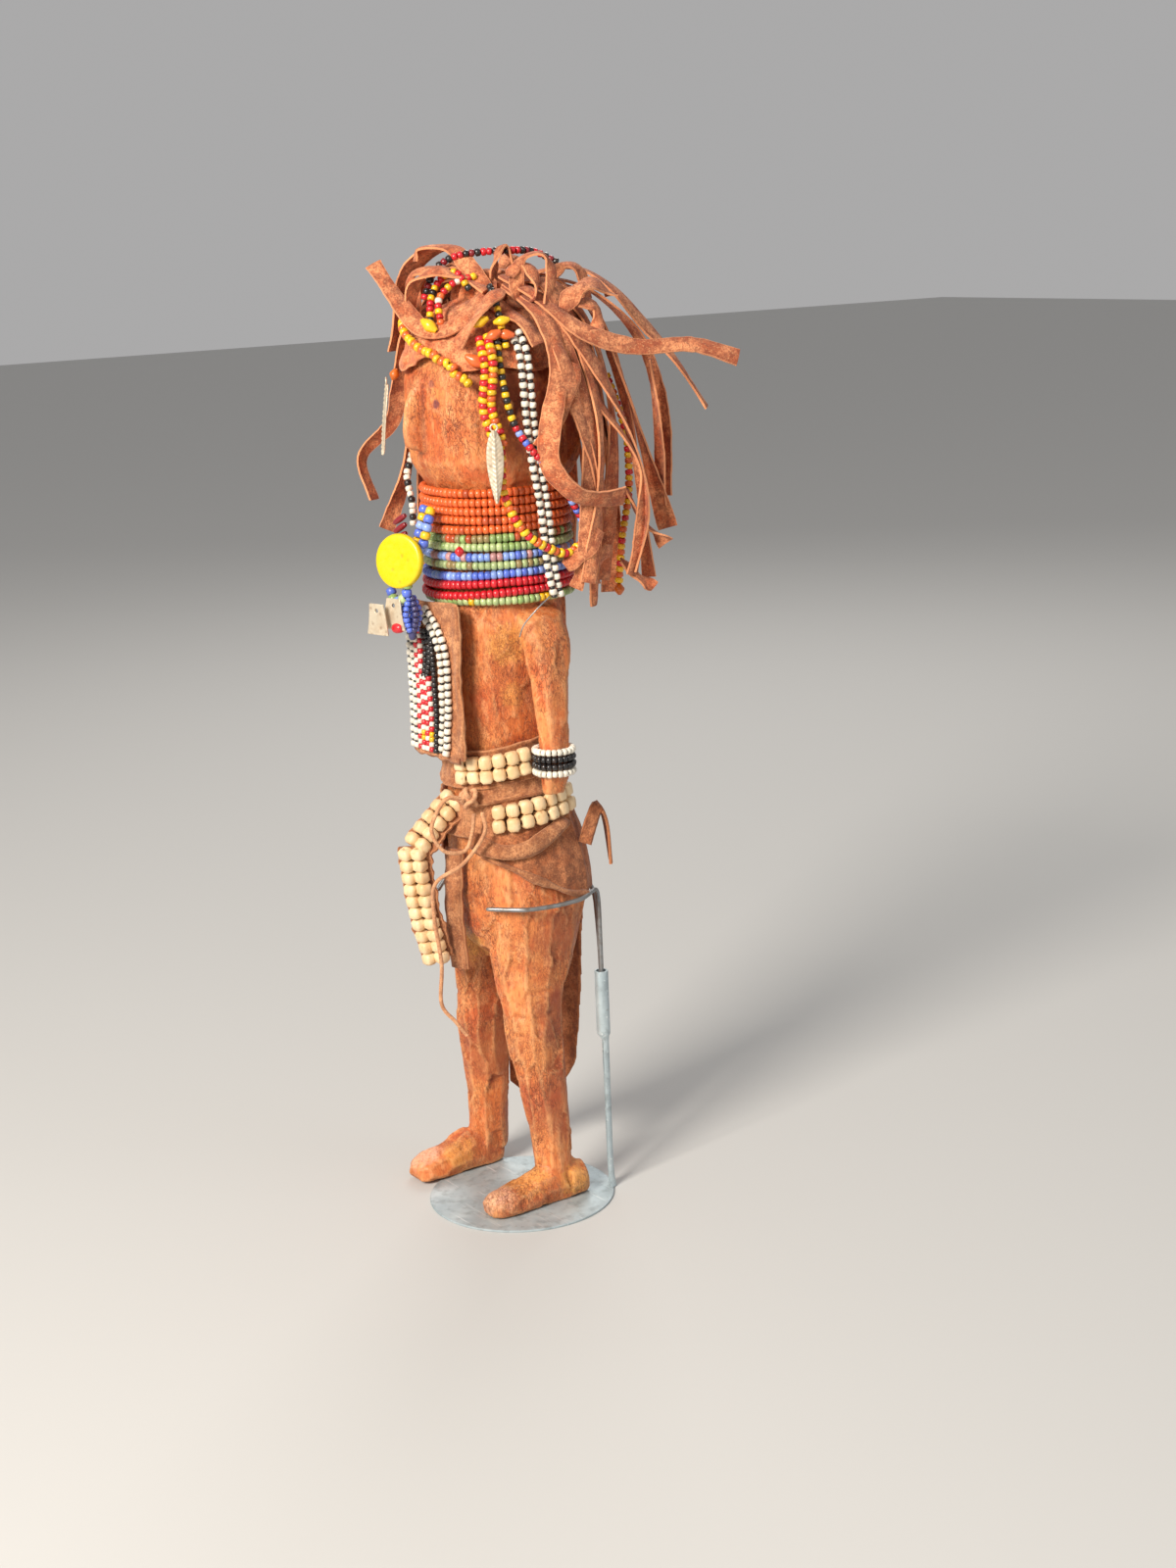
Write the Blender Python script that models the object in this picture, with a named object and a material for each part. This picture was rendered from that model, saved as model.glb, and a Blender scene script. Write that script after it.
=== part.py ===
"""Beaded wooden doll held upright by a wire clip on a sheet metal stand.

Metres, +Z up. The doll faces -Y and its left hand is on the +X side. The origin is under the
middle of the stand's disc, on the surface that the stand rests on.
"""

import math

import bmesh
import bpy
from mathutils import Vector

MM = 0.001

# The stand
DISC_RADIUS = 38.0 * MM
DISC_THICKNESS = 0.9 * MM
DISC_EDGE = 0.2 * MM
POST_HEIGHT = 94.0 * MM
POST_TUBE_LENGTH = 27.0 * MM
POST_TUBE_RADIUS = 2.8 * MM
POST_CHANNEL_RADIUS = 2.1 * MM
POST_WALL = 0.6 * MM
POST_BEARING = math.radians(153.0)
POST_FLARE = 1.4
POST_FLARE_HEIGHT = 12.0 * MM
POST_STEP_RUN = 3.0 * MM
POST_OPENINGS = (190, 185, 170, 150, 40, 30)
WIRE_DIAMETER = 1.4 * MM
CLIP_HEIGHT = 127.0 * MM
CLIP_DROP = 7.0 * MM
WIRE_NARROWING = 11.0 * MM
WIRE_TURN_RISE = 8.0 * MM

# The figure and what it wears
FIGURE_HEIGHT = 361.0 * MM
FIGURE_OFFSET = -12.5 * MM
NECK_BEAD = 3.3 * MM
STRAND_BEAD = 2.8 * MM
BRACELET_BEAD = 2.7 * MM
BRACELET_ROWS = 4
BELT_BEAD = 5.4 * MM
BELT_WIDTH = 13.0 * MM
BELT_LEATHER = 1.2 * MM
STRAP_WIDTH = 9.0 * MM
STRIP_WIDTH = 7.0 * MM
STRIP_THICKNESS = 1.2 * MM
CAP_THICKNESS = 1.6 * MM
BIB_WIDTH = 39.0 * MM
BIB_LEATHER = 1.3 * MM
BIB_BEAD = 2.6 * MM
BUTTON_RADIUS = 10.6 * MM
BUTTON_THICKNESS = 3.4 * MM
SKIRT_THICKNESS = 1.1 * MM
LACE_DIAMETER = 1.6 * MM
LEAF_LENGTH = 28.0 * MM
LEAF_WIDTH = 6.5 * MM
LEAF_THICKNESS = 0.8 * MM
PENDANT_LENGTH = 11.0 * MM
PENDANT_THICKNESS = 0.9 * MM

# Clearance between pieces that touch, the least slack of a row laid over facets, how far the
# skirt stands off the hips, and the play between two rows of beads
GAP = 0.3 * MM
FACET_SLACK = 0.6 * MM
SKIRT_CLEAR = 1.2 * MM
ROW_SLACK = 0.15 * MM
MERGE_DISTANCE = 0.003 * MM

# The figure's tables give its shape in 361 equal shares of its height
SHARES = 361.0
SOLE = DISC_THICKNESS + GAP
FACETS = 16
LIMB_FACETS = 10
CHANNEL_FACETS = 9
BELT_FACETS = 12

# The carved body: height above the sole, centre behind the ankles, half width, half depth
# and squareness
TRUNK = (
    (98.0, 10.0, 13.0, 10.0, 2.2),
    (106.0, 11.0, 24.0, 19.5, 2.3),
    (116.0, 12.0, 28.3, 24.5, 2.3),
    (127.0, 12.5, 29.5, 26.5, 2.3),
    (145.0, 11.5, 27.0, 25.0, 2.3),
    (158.0, 9.5, 23.5, 23.0, 2.2),
    (172.0, 8.5, 20.5, 22.0, 2.2),
    (188.0, 8.5, 21.0, 22.5, 2.3),
    (212.0, 9.5, 23.0, 24.0, 2.4),
    (238.0, 10.0, 25.5, 25.0, 2.5),
    (246.0, 11.0, 25.5, 25.5, 2.2),
    (291.0, 11.0, 25.5, 25.5, 2.1),
    (295.0, 12.0, 27.5, 29.5, 2.3),
    (301.0, 12.0, 29.5, 32.5, 2.4),
    (315.0, 12.0, 30.5, 34.0, 2.4),
    (333.0, 12.0, 30.5, 34.0, 2.3),
    (346.0, 12.5, 27.0, 30.5, 2.2),
    (355.0, 13.0, 19.5, 22.5, 2.1),
    (361.0, 13.5, 8.0, 9.0, 2.0),
)
# One arm and one leg: height, distance from the middle plane, centre, half width, half depth
ARM = (
    (246.0, 19.0, 11.0, 5.0, 8.0),
    (241.0, 26.5, 11.3, 6.5, 10.5),
    (232.0, 29.5, 11.5, 7.0, 10.5),
    (218.0, 31.5, 11.5, 6.3, 8.2),
    (201.0, 33.0, 11.0, 5.5, 6.8),
    (186.0, 34.0, 10.5, 5.0, 5.6),
    (178.0, 34.0, 10.3, 4.6, 5.6),
    (172.0, 33.5, 10.0, 3.2, 4.2),
)
LEG = (
    (118.0, 14.5, 11.5, 13.3, 22.0),
    (104.0, 14.9, 9.5, 12.8, 19.0),
    (92.0, 15.6, 7.5, 11.8, 15.5),
    (80.0, 17.2, 6.0, 10.3, 12.8),
    (66.0, 19.0, 5.5, 9.4, 11.8),
    (50.0, 20.7, 7.0, 9.3, 10.3),
    (30.0, 23.0, 8.3, 7.8, 8.6),
    (14.0, 24.3, 8.8, 7.2, 8.2),
    (7.0, 24.5, 8.8, 7.0, 8.0),
)
# A foot from heel to toe: distance ahead of the heel, half width, height above the sole
FOOT = (
    (0.0, 4.5, 9.0),
    (3.0, 7.0, 13.5),
    (10.0, 8.0, 16.0),
    (20.0, 7.8, 15.5),
    (29.0, 8.2, 11.5),
    (38.0, 8.4, 8.8),
    (44.0, 7.2, 7.6),
    (46.5, 4.8, 5.8),
)
# Each foot: distance from the middle plane, place of the heel, length beside the table's
LEFT_FOOT = (24.5, 22.8, 1.0)
RIGHT_FOOT = (-26.5, 14.5, 0.9)
FOOT_OUTLINE = (
    (-0.8, 0.0),
    (0.8, 0.0),
    (1.0, 0.3),
    (0.85, 0.75),
    (0.35, 1.0),
    (-0.35, 1.0),
    (-0.85, 0.75),
    (-1.0, 0.3),
)
# The nose from brow to base: height, half width, how far it stands proud
NOSE = (
    (333.0, 1.6, 0.4),
    (326.0, 2.2, 2.0),
    (314.0, 3.2, 3.6),
    (308.0, 3.4, 3.6),
    (306.0, 2.4, 0.6),
)
# An ear: bearing, forward bulge, height and half height
EAR = (97.0, 8.0, 320.5, 9.0)
# Where each arm of the wire touches the hips, from its front end to the post
LEFT_CLIP = (34, 60, 85, 110, 132)
RIGHT_CLIP = (-34, -60, -85, -110, -135, -160, -185)
HAIRLINE = 337.0
HEAD_MIDDLE = 335.0
HEAD_AXIS = 12.5
CHIN_ROW = 290.0
UPPER_BELT = (181.0, 9.0)
LOWER_BELT = (161.0, 7.0)
BRACELET_TOP = 189.5
BIB_TOP = 248.0
BIB_FALL = 63.0
BIB_COLUMNS = 5
BIB_FRONT = -21.0

# Neck rows from the chin down: name, number of rows and colour
NECK_ROWS = (
    ("neck_beads_orange", 5, (0.78, 0.16, 0.03)),
    ("neck_beads_green", 2, (0.36, 0.50, 0.16)),
    ("neck_beads_blue", 1, (0.30, 0.42, 0.78)),
    ("neck_beads_moss", 1, (0.42, 0.55, 0.22)),
    ("neck_beads_cobalt", 1, (0.16, 0.24, 0.72)),
    ("neck_beads_red", 2, (0.66, 0.03, 0.04)),
    ("neck_beads_lime", 1, (0.50, 0.72, 0.16)),
)

# Leather strips that show, each from the tuft to its tip: bearing in degrees, distance from
# the head's axis and height
STRIPS = (
    ((62, 12, 368), (48, 24, 360), (28, 32, 352), (10, 35, 352), (-8, 37, 361), (-24, 44, 376)),
    ((20, 6, 370), (-15, 9, 377), (-35, 17, 381), (-43, 28, 376), (-49, 36, 364), (-54, 40, 342)),
    ((30, 8, 369), (20, 18, 371), (5, 26, 373), (-9, 31, 368), (-12, 33, 358)),
    ((82, 12, 370), (95, 28, 363), (108, 44, 349), (125, 59, 342), (134, 78, 342), (138, 95, 336)),
    ((140, 9, 369), (149, 32, 372), (151, 47, 364), (153, 60, 349), (153, 72, 335), (153, 84, 316)),
    ((150, 12, 370), (158, 38, 364), (156, 58, 345), (154, 66, 318), (152, 67, 282)),
    ((98, 12, 368), (104, 34, 356), (118, 47, 332), (130, 54, 308), (134, 58, 280), (134, 54, 255)),
    ((90, 12, 367), (98, 33, 356), (103, 42, 332), (112, 46, 307), (118, 46, 285)),
    ((86, 13, 366), (93, 33, 356), (92, 43, 336), (84, 45, 316), (82, 46, 301), (94, 48, 289),
     (108, 50, 286), (120, 54, 286)),
    ((128, 12, 369), (136, 36, 361), (142, 50, 330), (146, 59, 298), (147, 66, 270)),
    ((108, 12, 368), (113, 35, 356), (114, 47, 320), (112, 47, 285), (105, 44, 254)),
    ((118, 12, 369), (126, 37, 356), (130, 47, 320), (128, 46, 285), (123, 43, 253)),
    ((142, 12, 370), (158, 38, 360), (160, 52, 325), (160, 58, 285), (158, 60, 249)),
    ((-40, 12, 367), (-46, 33, 353), (-53, 39, 332), (-58, 45, 314), (-52, 57, 301), (-50, 52, 284)),
    ((-62, 12, 367), (-66, 34, 352), (-68, 40, 320), (-62, 42, 294), (-52, 48, 272)),
)
# The tuft that ties them: radius and rise above the crown
TUFT = ((7.0, 0.0), (14.0, 1.5), (15.0, 5.0), (11.0, 9.0), (5.0, 11.0))
# The strips over the back: how many, the bearings that they take up, how high they lie where
# they leave the head, and the middle height and spread of their tips
BACK_STRIPS = 11
BACK_START = 168.0
BACK_SPREAD = 118.0
BACK_NAPE = 325.0
BACK_TIPS = (268.0, 20.0)

# Strings of beads on the head: name, colour and route, as for the strips
STRANDS = (
    ("strand_yellow_red", (0.85, 0.55, 0.03),
     ((52, 31, 347), (55, 36, 337), (53, 37, 322), (59, 38, 308), (60, 37, 291), (68, 38, 278),
      (79, 38, 271), (95, 39, 266), (108, 39, 268))),
    ("strand_blue_red", (0.25, 0.30, 0.70),
     ((60, 33, 346), (62, 37, 333), (65, 38, 322), (69, 38, 314), (78, 42, 304), (90, 42, 295),
      (101, 41, 284), (112, 41, 273))),
    ("strand_white_black", (0.62, 0.60, 0.54),
     ((74, 31, 349), (76, 36, 340), (78, 37, 314), (80, 38, 299), (85, 34, 284), (88, 34, 262),
      (92, 34, 252))),
    ("strand_white_black_far", (0.60, 0.58, 0.52),
     ((-46, 34, 302), (-42, 36, 294), (-36, 34, 284), (-35, 34, 276))),
    ("strand_forehead", (0.80, 0.45, 0.03),
     ((-20, 33, 354), (-4, 36, 348), (12, 37, 342), (28, 37, 340), (42, 35, 341))),
    ("strand_tail", (0.75, 0.30, 0.04),
     ((146, 44, 330), (146, 48, 318), (146, 51, 305), (146, 51, 285), (146, 48, 268),
      (146, 46, 248))),
    ("strand_crown_loop", (0.55, 0.05, 0.08),
     ((-8, 27, 363), (-8, 22, 373), (10, 14, 378), (100, 12, 379), (142, 18, 378), (146, 26, 374))),
)
# The string that crosses over the others at the neck
OVER_STRAND = "strand_yellow_red"
# Long oval beads on the forehead strand: their places along it and their shape
FOREHEAD_OVALS = (0.42, 0.80)
OVAL_LENGTH = 3.4
OVAL_SWELL = 1.35

# Leaf pendants: name, bearing, distance from the head's axis and height of the top
LEAVES = (("leaf_pendant_near", 56.0, 42.0, 315.0), ("leaf_pendant_far", -29.0, 41.0, 331.0))

# The apron strap: bearing and height of its start, then its reach out and its hang, each as
# left, back and up. The strap under it: bearing, top, where the belly holds it, foot
APRON_START = (-6.0, 166.0)
APRON_REACH = (-2.0, -20.0, -19.0)
APRON_HANG = (1.0, 9.0, -44.0)
UNDER_STRAP = (2.5, 149.0, 122.0, 97.0)
# The knot between the belts: bearing, height and radius
KNOT = (29.0, 171.0, 3.4)

# The lace at the waist: its bow, and its long end that hangs to the knee
BOW_ROUTE = (
    (25, 38, 172), (21, 42, 173), (18, 45, 170), (16, 49, 161), (19, 45, 152), (26, 38, 151),
    (29, 35, 158), (30, 34, 165),
)
LACE_ROUTE = (
    (36, 34, 166), (38, 36, 158), (28, 42, 147), (12, 45, 138), (8, 44, 124), (7, 41, 103),
    (5, 41, 86), (10, 37, 78), (15, 34, 72),
)
# The skirt from the front of the left hip, round the back, to the right: bearing in degrees
# and height of the lower edge. The deep part is the tail, behind the right leg
SKIRT_EDGE = (
    (25, 150), (48, 144), (72, 137), (96, 130), (118, 126), (140, 126), (158, 126), (166, 122),
    (171, 36), (188, 33), (206, 35), (224, 32), (240, 38), (246, 118), (262, 126), (285, 130),
    (310, 140), (335, 150),
)
SKIRT_ROWS = 7
SKIRT_HANG = 118.0
SKIRT_LEAN = 8.0
SKIRT_LOOP_ROUTE = ((118, 32, 147), (124, 34, 156), (130, 36, 161), (136, 38, 153), (140, 39, 136))

# The front ornaments: places as left, back and height, and the side that they face
BUTTON_PLACE = (-34.0, 265.0)
BUTTON_FACING = (0.40, -0.90, 0.12)
PENDANTS = (("metal_pendant_front", -7.0, -41.0, 9.0), ("metal_pendant_back", -2.5, -36.5, 7.0))
PENDANT_OUTLINE = ((-0.3, 0.5), (-0.46, -0.5), (0.46, -0.5), (0.3, 0.5))
BUNDLE = (1.5, -31.0, 1.0, 12.0, 3.2)


def clear_scene():
    for thing in list(bpy.data.objects):
        bpy.data.objects.remove(thing)


def material(name, colour, roughness, metallic=0.0):
    made = bpy.data.materials.new(name)
    made.use_nodes = True
    shader = made.node_tree.nodes["Principled BSDF"]
    shader.inputs["Base Color"].default_value = (*colour, 1.0)
    shader.inputs["Roughness"].default_value = roughness
    shader.inputs["Metallic"].default_value = metallic
    return made


def add_object(name, points, faces, finish=None, smooth_angle=None):
    """A closed mesh object whose faces are turned outwards."""
    mesh = bpy.data.meshes.new(name)
    mesh.from_pydata([tuple(p) for p in points], [], faces)
    work = bmesh.new()
    work.from_mesh(mesh)
    bmesh.ops.recalc_face_normals(work, faces=work.faces)
    work.to_mesh(mesh)
    work.free()
    made = bpy.data.objects.new(name, mesh)
    bpy.context.scene.collection.objects.link(made)
    if finish:
        mesh.materials.append(finish)
    if smooth_angle:
        mesh.shade_smooth()
        mesh.set_sharp_from_angle(angle=math.radians(smooth_angle))
    return made


def join_into(target, others):
    """Boolean unions, settled into one plain closed body without flat slivers."""
    for other in others:
        other.hide_render = True
        other.display_type = "WIRE"
        union = target.modifiers.new(other.name, "BOOLEAN")
        union.operation = "UNION"
        union.solver = "EXACT"
        union.object = other
    graph = bpy.context.evaluated_depsgraph_get()
    joined = bpy.data.meshes.new_from_object(target.evaluated_get(graph))
    target.modifiers.clear()
    work = bmesh.new()
    work.from_mesh(joined)
    bmesh.ops.remove_doubles(work, verts=work.verts, dist=MERGE_DISTANCE)
    idle = [vert for vert in work.verts if len(vert.link_edges) == 2]
    bmesh.ops.dissolve_verts(work, verts=idle)
    work.to_mesh(joined)
    work.free()
    target.data = joined
    for other in others:
        bpy.data.objects.remove(other)


def loft_faces(rings, sides, closed=False):
    """Side faces between rings of points, with caps unless the loft closes on itself."""
    faces = []
    spans = rings if closed else rings - 1
    for i in range(spans):
        a, b = i * sides, ((i + 1) % rings) * sides
        for j in range(sides):
            k = (j + 1) % sides
            faces.append((a + j, a + k, b + k, b + j))
    if not closed:
        faces.append(tuple(reversed(range(sides))))
        faces.append(tuple(range((rings - 1) * sides, rings * sides)))
    return faces


def loft(name, rings, finish=None, closed=False, smooth_angle=None):
    points = [p for ring in rings for p in ring]
    faces = loft_faces(len(rings), len(rings[0]), closed)
    return add_object(name, points, faces, finish, smooth_angle)


def superellipse(half_x, half_y, power, sides):
    """Points round a rounded rectangle, or an ellipse where the power is 2."""
    found = []
    for i in range(sides):
        angle = 2 * math.pi * i / sides
        c, s = math.cos(angle), math.sin(angle)
        x = half_x * math.copysign(abs(c) ** (2 / power), c)
        y = half_y * math.copysign(abs(s) ** (2 / power), s)
        found.append((x, y))
    return found


def smooth_curve(points, steps):
    """Points on a Catmull-Rom curve through the given ones."""
    given = [Vector(p) for p in points]
    given = [2 * given[0] - given[1], *given, 2 * given[-1] - given[-2]]
    found = []
    for a, b, c, d in zip(given, given[1:], given[2:], given[3:]):
        for step in range(steps):
            t = step / steps
            bend = (2 * a - 5 * b + 4 * c - d) * t * t + (3 * b - a - 3 * c + d) * t**3
            found.append(0.5 * (2 * b + (c - a) * t + bend))
    return found + [given[-2]]


def without_straights(line, least=10.0):
    """The line without the points where it hardly bends, in degrees."""
    kept = [line[0]]
    for here, after in zip(line[1:], line[2:]):
        turn = (here - kept[-1]).angle(after - here)
        if turn > math.radians(least):
            kept.append(here)
    return kept + [line[-1]]


def tangents(line):
    last = len(line) - 1
    return [(line[min(i + 1, last)] - line[max(i - 1, 0)]).normalized() for i in range(last + 1)]


def tube(name, line, radius, finish, sides=6):
    """A round bar along a line, with its section carried along without twist."""
    line = without_straights(line)
    across = tangents(line)[0].orthogonal().normalized()
    rings = []
    for here, along in zip(line, tangents(line)):
        across = (across - along * across.dot(along)).normalized()
        up = along.cross(across)
        turns = (2 * math.pi * i / sides for i in range(sides))
        rings.append([here + (across * math.cos(a) + up * math.sin(a)) * radius for a in turns])
    return loft(name, rings, finish, smooth_angle=50)


def ribbon(name, line, width, thickness, finish, facing, taper=0.85, least=10.0):
    """A flat strip along a line. Its flat side turns towards facing(point)."""
    line = without_straights(line, least)
    rings = []
    for i, (here, along) in enumerate(zip(line, tangents(line))):
        side = along.cross(facing(here)).normalized()
        face = side.cross(along).normalized()
        share = abs(2 * i / (len(line) - 1) - 1)
        half = side * width / 2 * (1 - (1 - taper) * share**3)
        raised = face * thickness / 2
        rings.append([here + half + raised, here - half + raised, here - half - raised,
                      here + half - raised])
    return loft(name, rings, finish)


def plate(name, outline, middle, across, up, thickness, finish):
    """A flat plate whose outline is drawn along two directions."""
    through = across.cross(up).normalized() * thickness / 2
    flat = [middle + across * x + up * y for x, y in outline]
    return loft(name, [[p - through for p in flat], [p + through for p in flat]], finish)


def drawn(value):
    return value * FIGURE_HEIGHT / SHARES


def height_of(share):
    """World height of a share above the sole."""
    return SOLE + drawn(share)


def section_at(table, height):
    """The table's row at a world height, between its rows."""
    wanted = (height - SOLE) / drawn(1.0)
    rows = sorted(table)
    if wanted <= rows[0][0]:
        return rows[0]
    for low, high in zip(rows, rows[1:]):
        if wanted <= high[0]:
            t = (wanted - low[0]) / (high[0] - low[0])
            return tuple(a + (b - a) * t for a, b in zip(low, high))
    return rows[-1]


def direction(bearing):
    """Bearing 0 is the front, and 90 degrees the doll's left."""
    return Vector((math.sin(bearing), -math.cos(bearing), 0.0))


def centre_at(height):
    return Vector((FIGURE_OFFSET, drawn(section_at(TRUNK, height)[1]), height))


def oval_reach(bearing, half_width, half_depth, power):
    """From the middle of a rounded oval to its edge."""
    way = direction(bearing)
    squared = (abs(way.x) / drawn(half_width)) ** power + (abs(way.y) / drawn(half_depth)) ** power
    return squared ** (-1 / power)


def body_reach(bearing, height):
    _, _, half_width, half_depth, power = section_at(TRUNK, height)
    return oval_reach(bearing, half_width, half_depth, power)


def body_point(bearing, height, clear=0.0):
    """A point level with the carved body's surface, or clear of it."""
    return centre_at(height) + direction(bearing) * (body_reach(bearing, height) + clear)


def body_normal(bearing, height):
    """Square to the body's surface, so also up or down where it narrows or widens."""
    step = drawn(2.5)
    slope = body_reach(bearing, height - step) - body_reach(bearing, height + step)
    return (direction(bearing) + Vector((0, 0, slope / (2 * step)))).normalized()


def outward_from_body(point):
    away = point - centre_at(point.z)
    return body_normal(math.atan2(away.x, -away.y), point.z)


def neck_height(row):
    return height_of(CHIN_ROW) - row * (NECK_BEAD + ROW_SLACK)


def neck_row_count():
    return sum(count for _, count, _ in NECK_ROWS)


def neck_bottom():
    return neck_height(neck_row_count() - 1) - NECK_BEAD / 2


def neck_reach(bearing):
    """The inner side of the neck rows, clear of the widest body and shoulders behind them."""
    lowest = neck_bottom() - GAP
    widest = max(body_reach(bearing, height) for height in (neck_bottom(), neck_height(0)))
    if lowest < height_of(ARM[0][0]):
        _, offset, _, half_width, _ = section_at(ARM, lowest)
        _, _, _, half_depth, power = section_at(TRUNK, lowest)
        widest = max(widest, oval_reach(bearing, offset + half_width, half_depth, power))
    return widest + FACET_SLACK


def worn_reach(bearing, height):
    """How far out the body reaches with the beads or the cap that it wears at a height."""
    bare = body_reach(bearing, height)
    if height > height_of(HAIRLINE):
        return bare + CAP_THICKNESS + 2 * GAP
    if neck_bottom() - GAP < height < neck_height(0) + NECK_BEAD:
        return max(bare + FACET_SLACK, neck_reach(bearing)) + NECK_BEAD + GAP
    return bare + GAP


def route(points, own_half, over_neck=0.0):
    """World points of a route clear of the body and what it wears, and of more at the neck."""
    placed = []
    for bearing, reach, share in points:
        height = height_of(share)
        way = direction(math.radians(bearing))
        least = worn_reach(math.radians(bearing), height) + own_half + FACET_SLACK
        if height < neck_height(0) + NECK_BEAD:
            least += over_neck
        spot = Vector((FIGURE_OFFSET, drawn(HEAD_AXIS), height))
        placed.append(spot + way * max(drawn(reach), least))
    return placed


def strip_facing(point):
    """Outwards from the head, and more upwards the higher the point lies."""
    middle = Vector((FIGURE_OFFSET, drawn(HEAD_AXIS), min(point.z, height_of(HEAD_MIDDLE))))
    return (point - middle).normalized() + Vector((0, 0, 0.6))


def build_limb(name, table, side):
    rings = []
    for share, offset, centre, half_width, half_depth in table:
        middle = Vector((FIGURE_OFFSET + side * drawn(offset), drawn(centre), height_of(share)))
        outline = superellipse(drawn(half_width), drawn(half_depth), 2.2, LIMB_FACETS)
        rings.append([middle + Vector((x, y, 0.0)) for x, y in outline])
    return loft(name, rings)


def build_foot(name, place):
    offset, heel, size = place
    rings = []
    for ahead, half_width, top in FOOT:
        middle = Vector((FIGURE_OFFSET + drawn(offset), drawn(heel - ahead * size), SOLE))
        half, tall = drawn(half_width), drawn(top)
        rings.append([middle + Vector((x * half, 0.0, z * tall)) for x, z in FOOT_OUTLINE])
    return loft(name, rings)


def build_nose():
    """A narrow ridge down the middle of the face."""
    sunk = drawn(3.0)
    rings = []
    for share, half_width, stand in NOSE:
        face = body_point(0.0, height_of(share))
        half, proud = drawn(half_width), drawn(stand)
        outline = (
            (-half * 1.6, sunk), (half * 1.6, sunk), (half, 0.0),
            (half * 0.4, -proud), (-half * 0.4, -proud), (-half, 0.0),
        )
        rings.append([face + Vector((x, y, 0.0)) for x, y in outline])
    return loft("nose_shape", rings)


def build_ear(name, side):
    """A low curved ridge on the side of the head."""
    middle, bulge, height, half_height = EAR
    line = []
    for degrees in range(-70, 71, 28):
        angle = math.radians(degrees)
        bearing = side * math.radians(middle + bulge * math.cos(angle))
        spot = height_of(height + half_height * math.sin(angle))
        line.append(body_point(bearing, spot, -drawn(0.7)))
    return ribbon(name, line, drawn(2.6), drawn(4.0), None, outward_from_body)


def build_figure(finish):
    rings = []
    for share, centre, half_width, half_depth, power in TRUNK:
        middle = Vector((FIGURE_OFFSET, drawn(centre), height_of(share)))
        outline = superellipse(drawn(half_width), drawn(half_depth), power, FACETS)
        rings.append([middle + Vector((x, y, 0.0)) for x, y in outline])
    figure = loft("doll_figure", rings, finish)
    shapes = [
        build_limb("arm_left_shape", ARM, 1),
        build_limb("arm_right_shape", ARM, -1),
        build_limb("leg_left_shape", LEG, 1),
        build_limb("leg_right_shape", LEG, -1),
        build_foot("foot_left_shape", LEFT_FOOT),
        build_foot("foot_right_shape", RIGHT_FOOT),
        build_nose(),
        build_ear("ear_left_shape", 1),
        build_ear("ear_right_shape", -1),
    ]
    join_into(figure, shapes)


def post_place():
    return direction(POST_BEARING) * (DISC_RADIUS - POST_CHANNEL_RADIUS + POST_WALL)


def channel_ring(radius, height, opening):
    """A thin C section, open towards the middle of the disc."""
    centre = post_place() + Vector((0, 0, height))
    inward = math.atan2(-centre.y, -centre.x)
    outer, inner = [], []
    for i in range(CHANNEL_FACETS):
        angle = inward + opening / 2 + (2 * math.pi - opening) * i / (CHANNEL_FACETS - 1)
        way = Vector((math.cos(angle), math.sin(angle), 0.0))
        outer.append(centre + way * radius)
        inner.append(centre + way * (radius - POST_WALL))
    return outer + inner[::-1]


def build_stand_base(finish):
    """A disc with a tab at its rim, bent up and rolled into an open channel, then a tube."""
    sides = 32
    rings = []
    for radius, height in (
        (DISC_RADIUS - DISC_EDGE, 0.0),
        (DISC_RADIUS, DISC_EDGE),
        (DISC_RADIUS, DISC_THICKNESS - DISC_EDGE),
        (DISC_RADIUS - DISC_EDGE, DISC_THICKNESS),
    ):
        turns = (2 * math.pi * i / sides for i in range(sides))
        rings.append([direction(a) * radius + Vector((0, 0, height)) for a in turns])
    base = loft("stand_base", rings, finish)
    step = POST_HEIGHT - POST_TUBE_LENGTH
    sections = (
        (POST_FLARE * POST_CHANNEL_RADIUS, DISC_THICKNESS / 3),
        (POST_FLARE**0.4 * POST_CHANNEL_RADIUS, 0.4 * POST_FLARE_HEIGHT),
        (POST_CHANNEL_RADIUS, POST_FLARE_HEIGHT),
        (POST_CHANNEL_RADIUS, step - POST_STEP_RUN),
        (POST_TUBE_RADIUS, step),
        (POST_TUBE_RADIUS, POST_HEIGHT),
    )
    post = [channel_ring(radius, height, math.radians(opening))
            for (radius, height), opening in zip(sections, POST_OPENINGS)]
    join_into(base, [loft("post_shape", post)])


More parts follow.
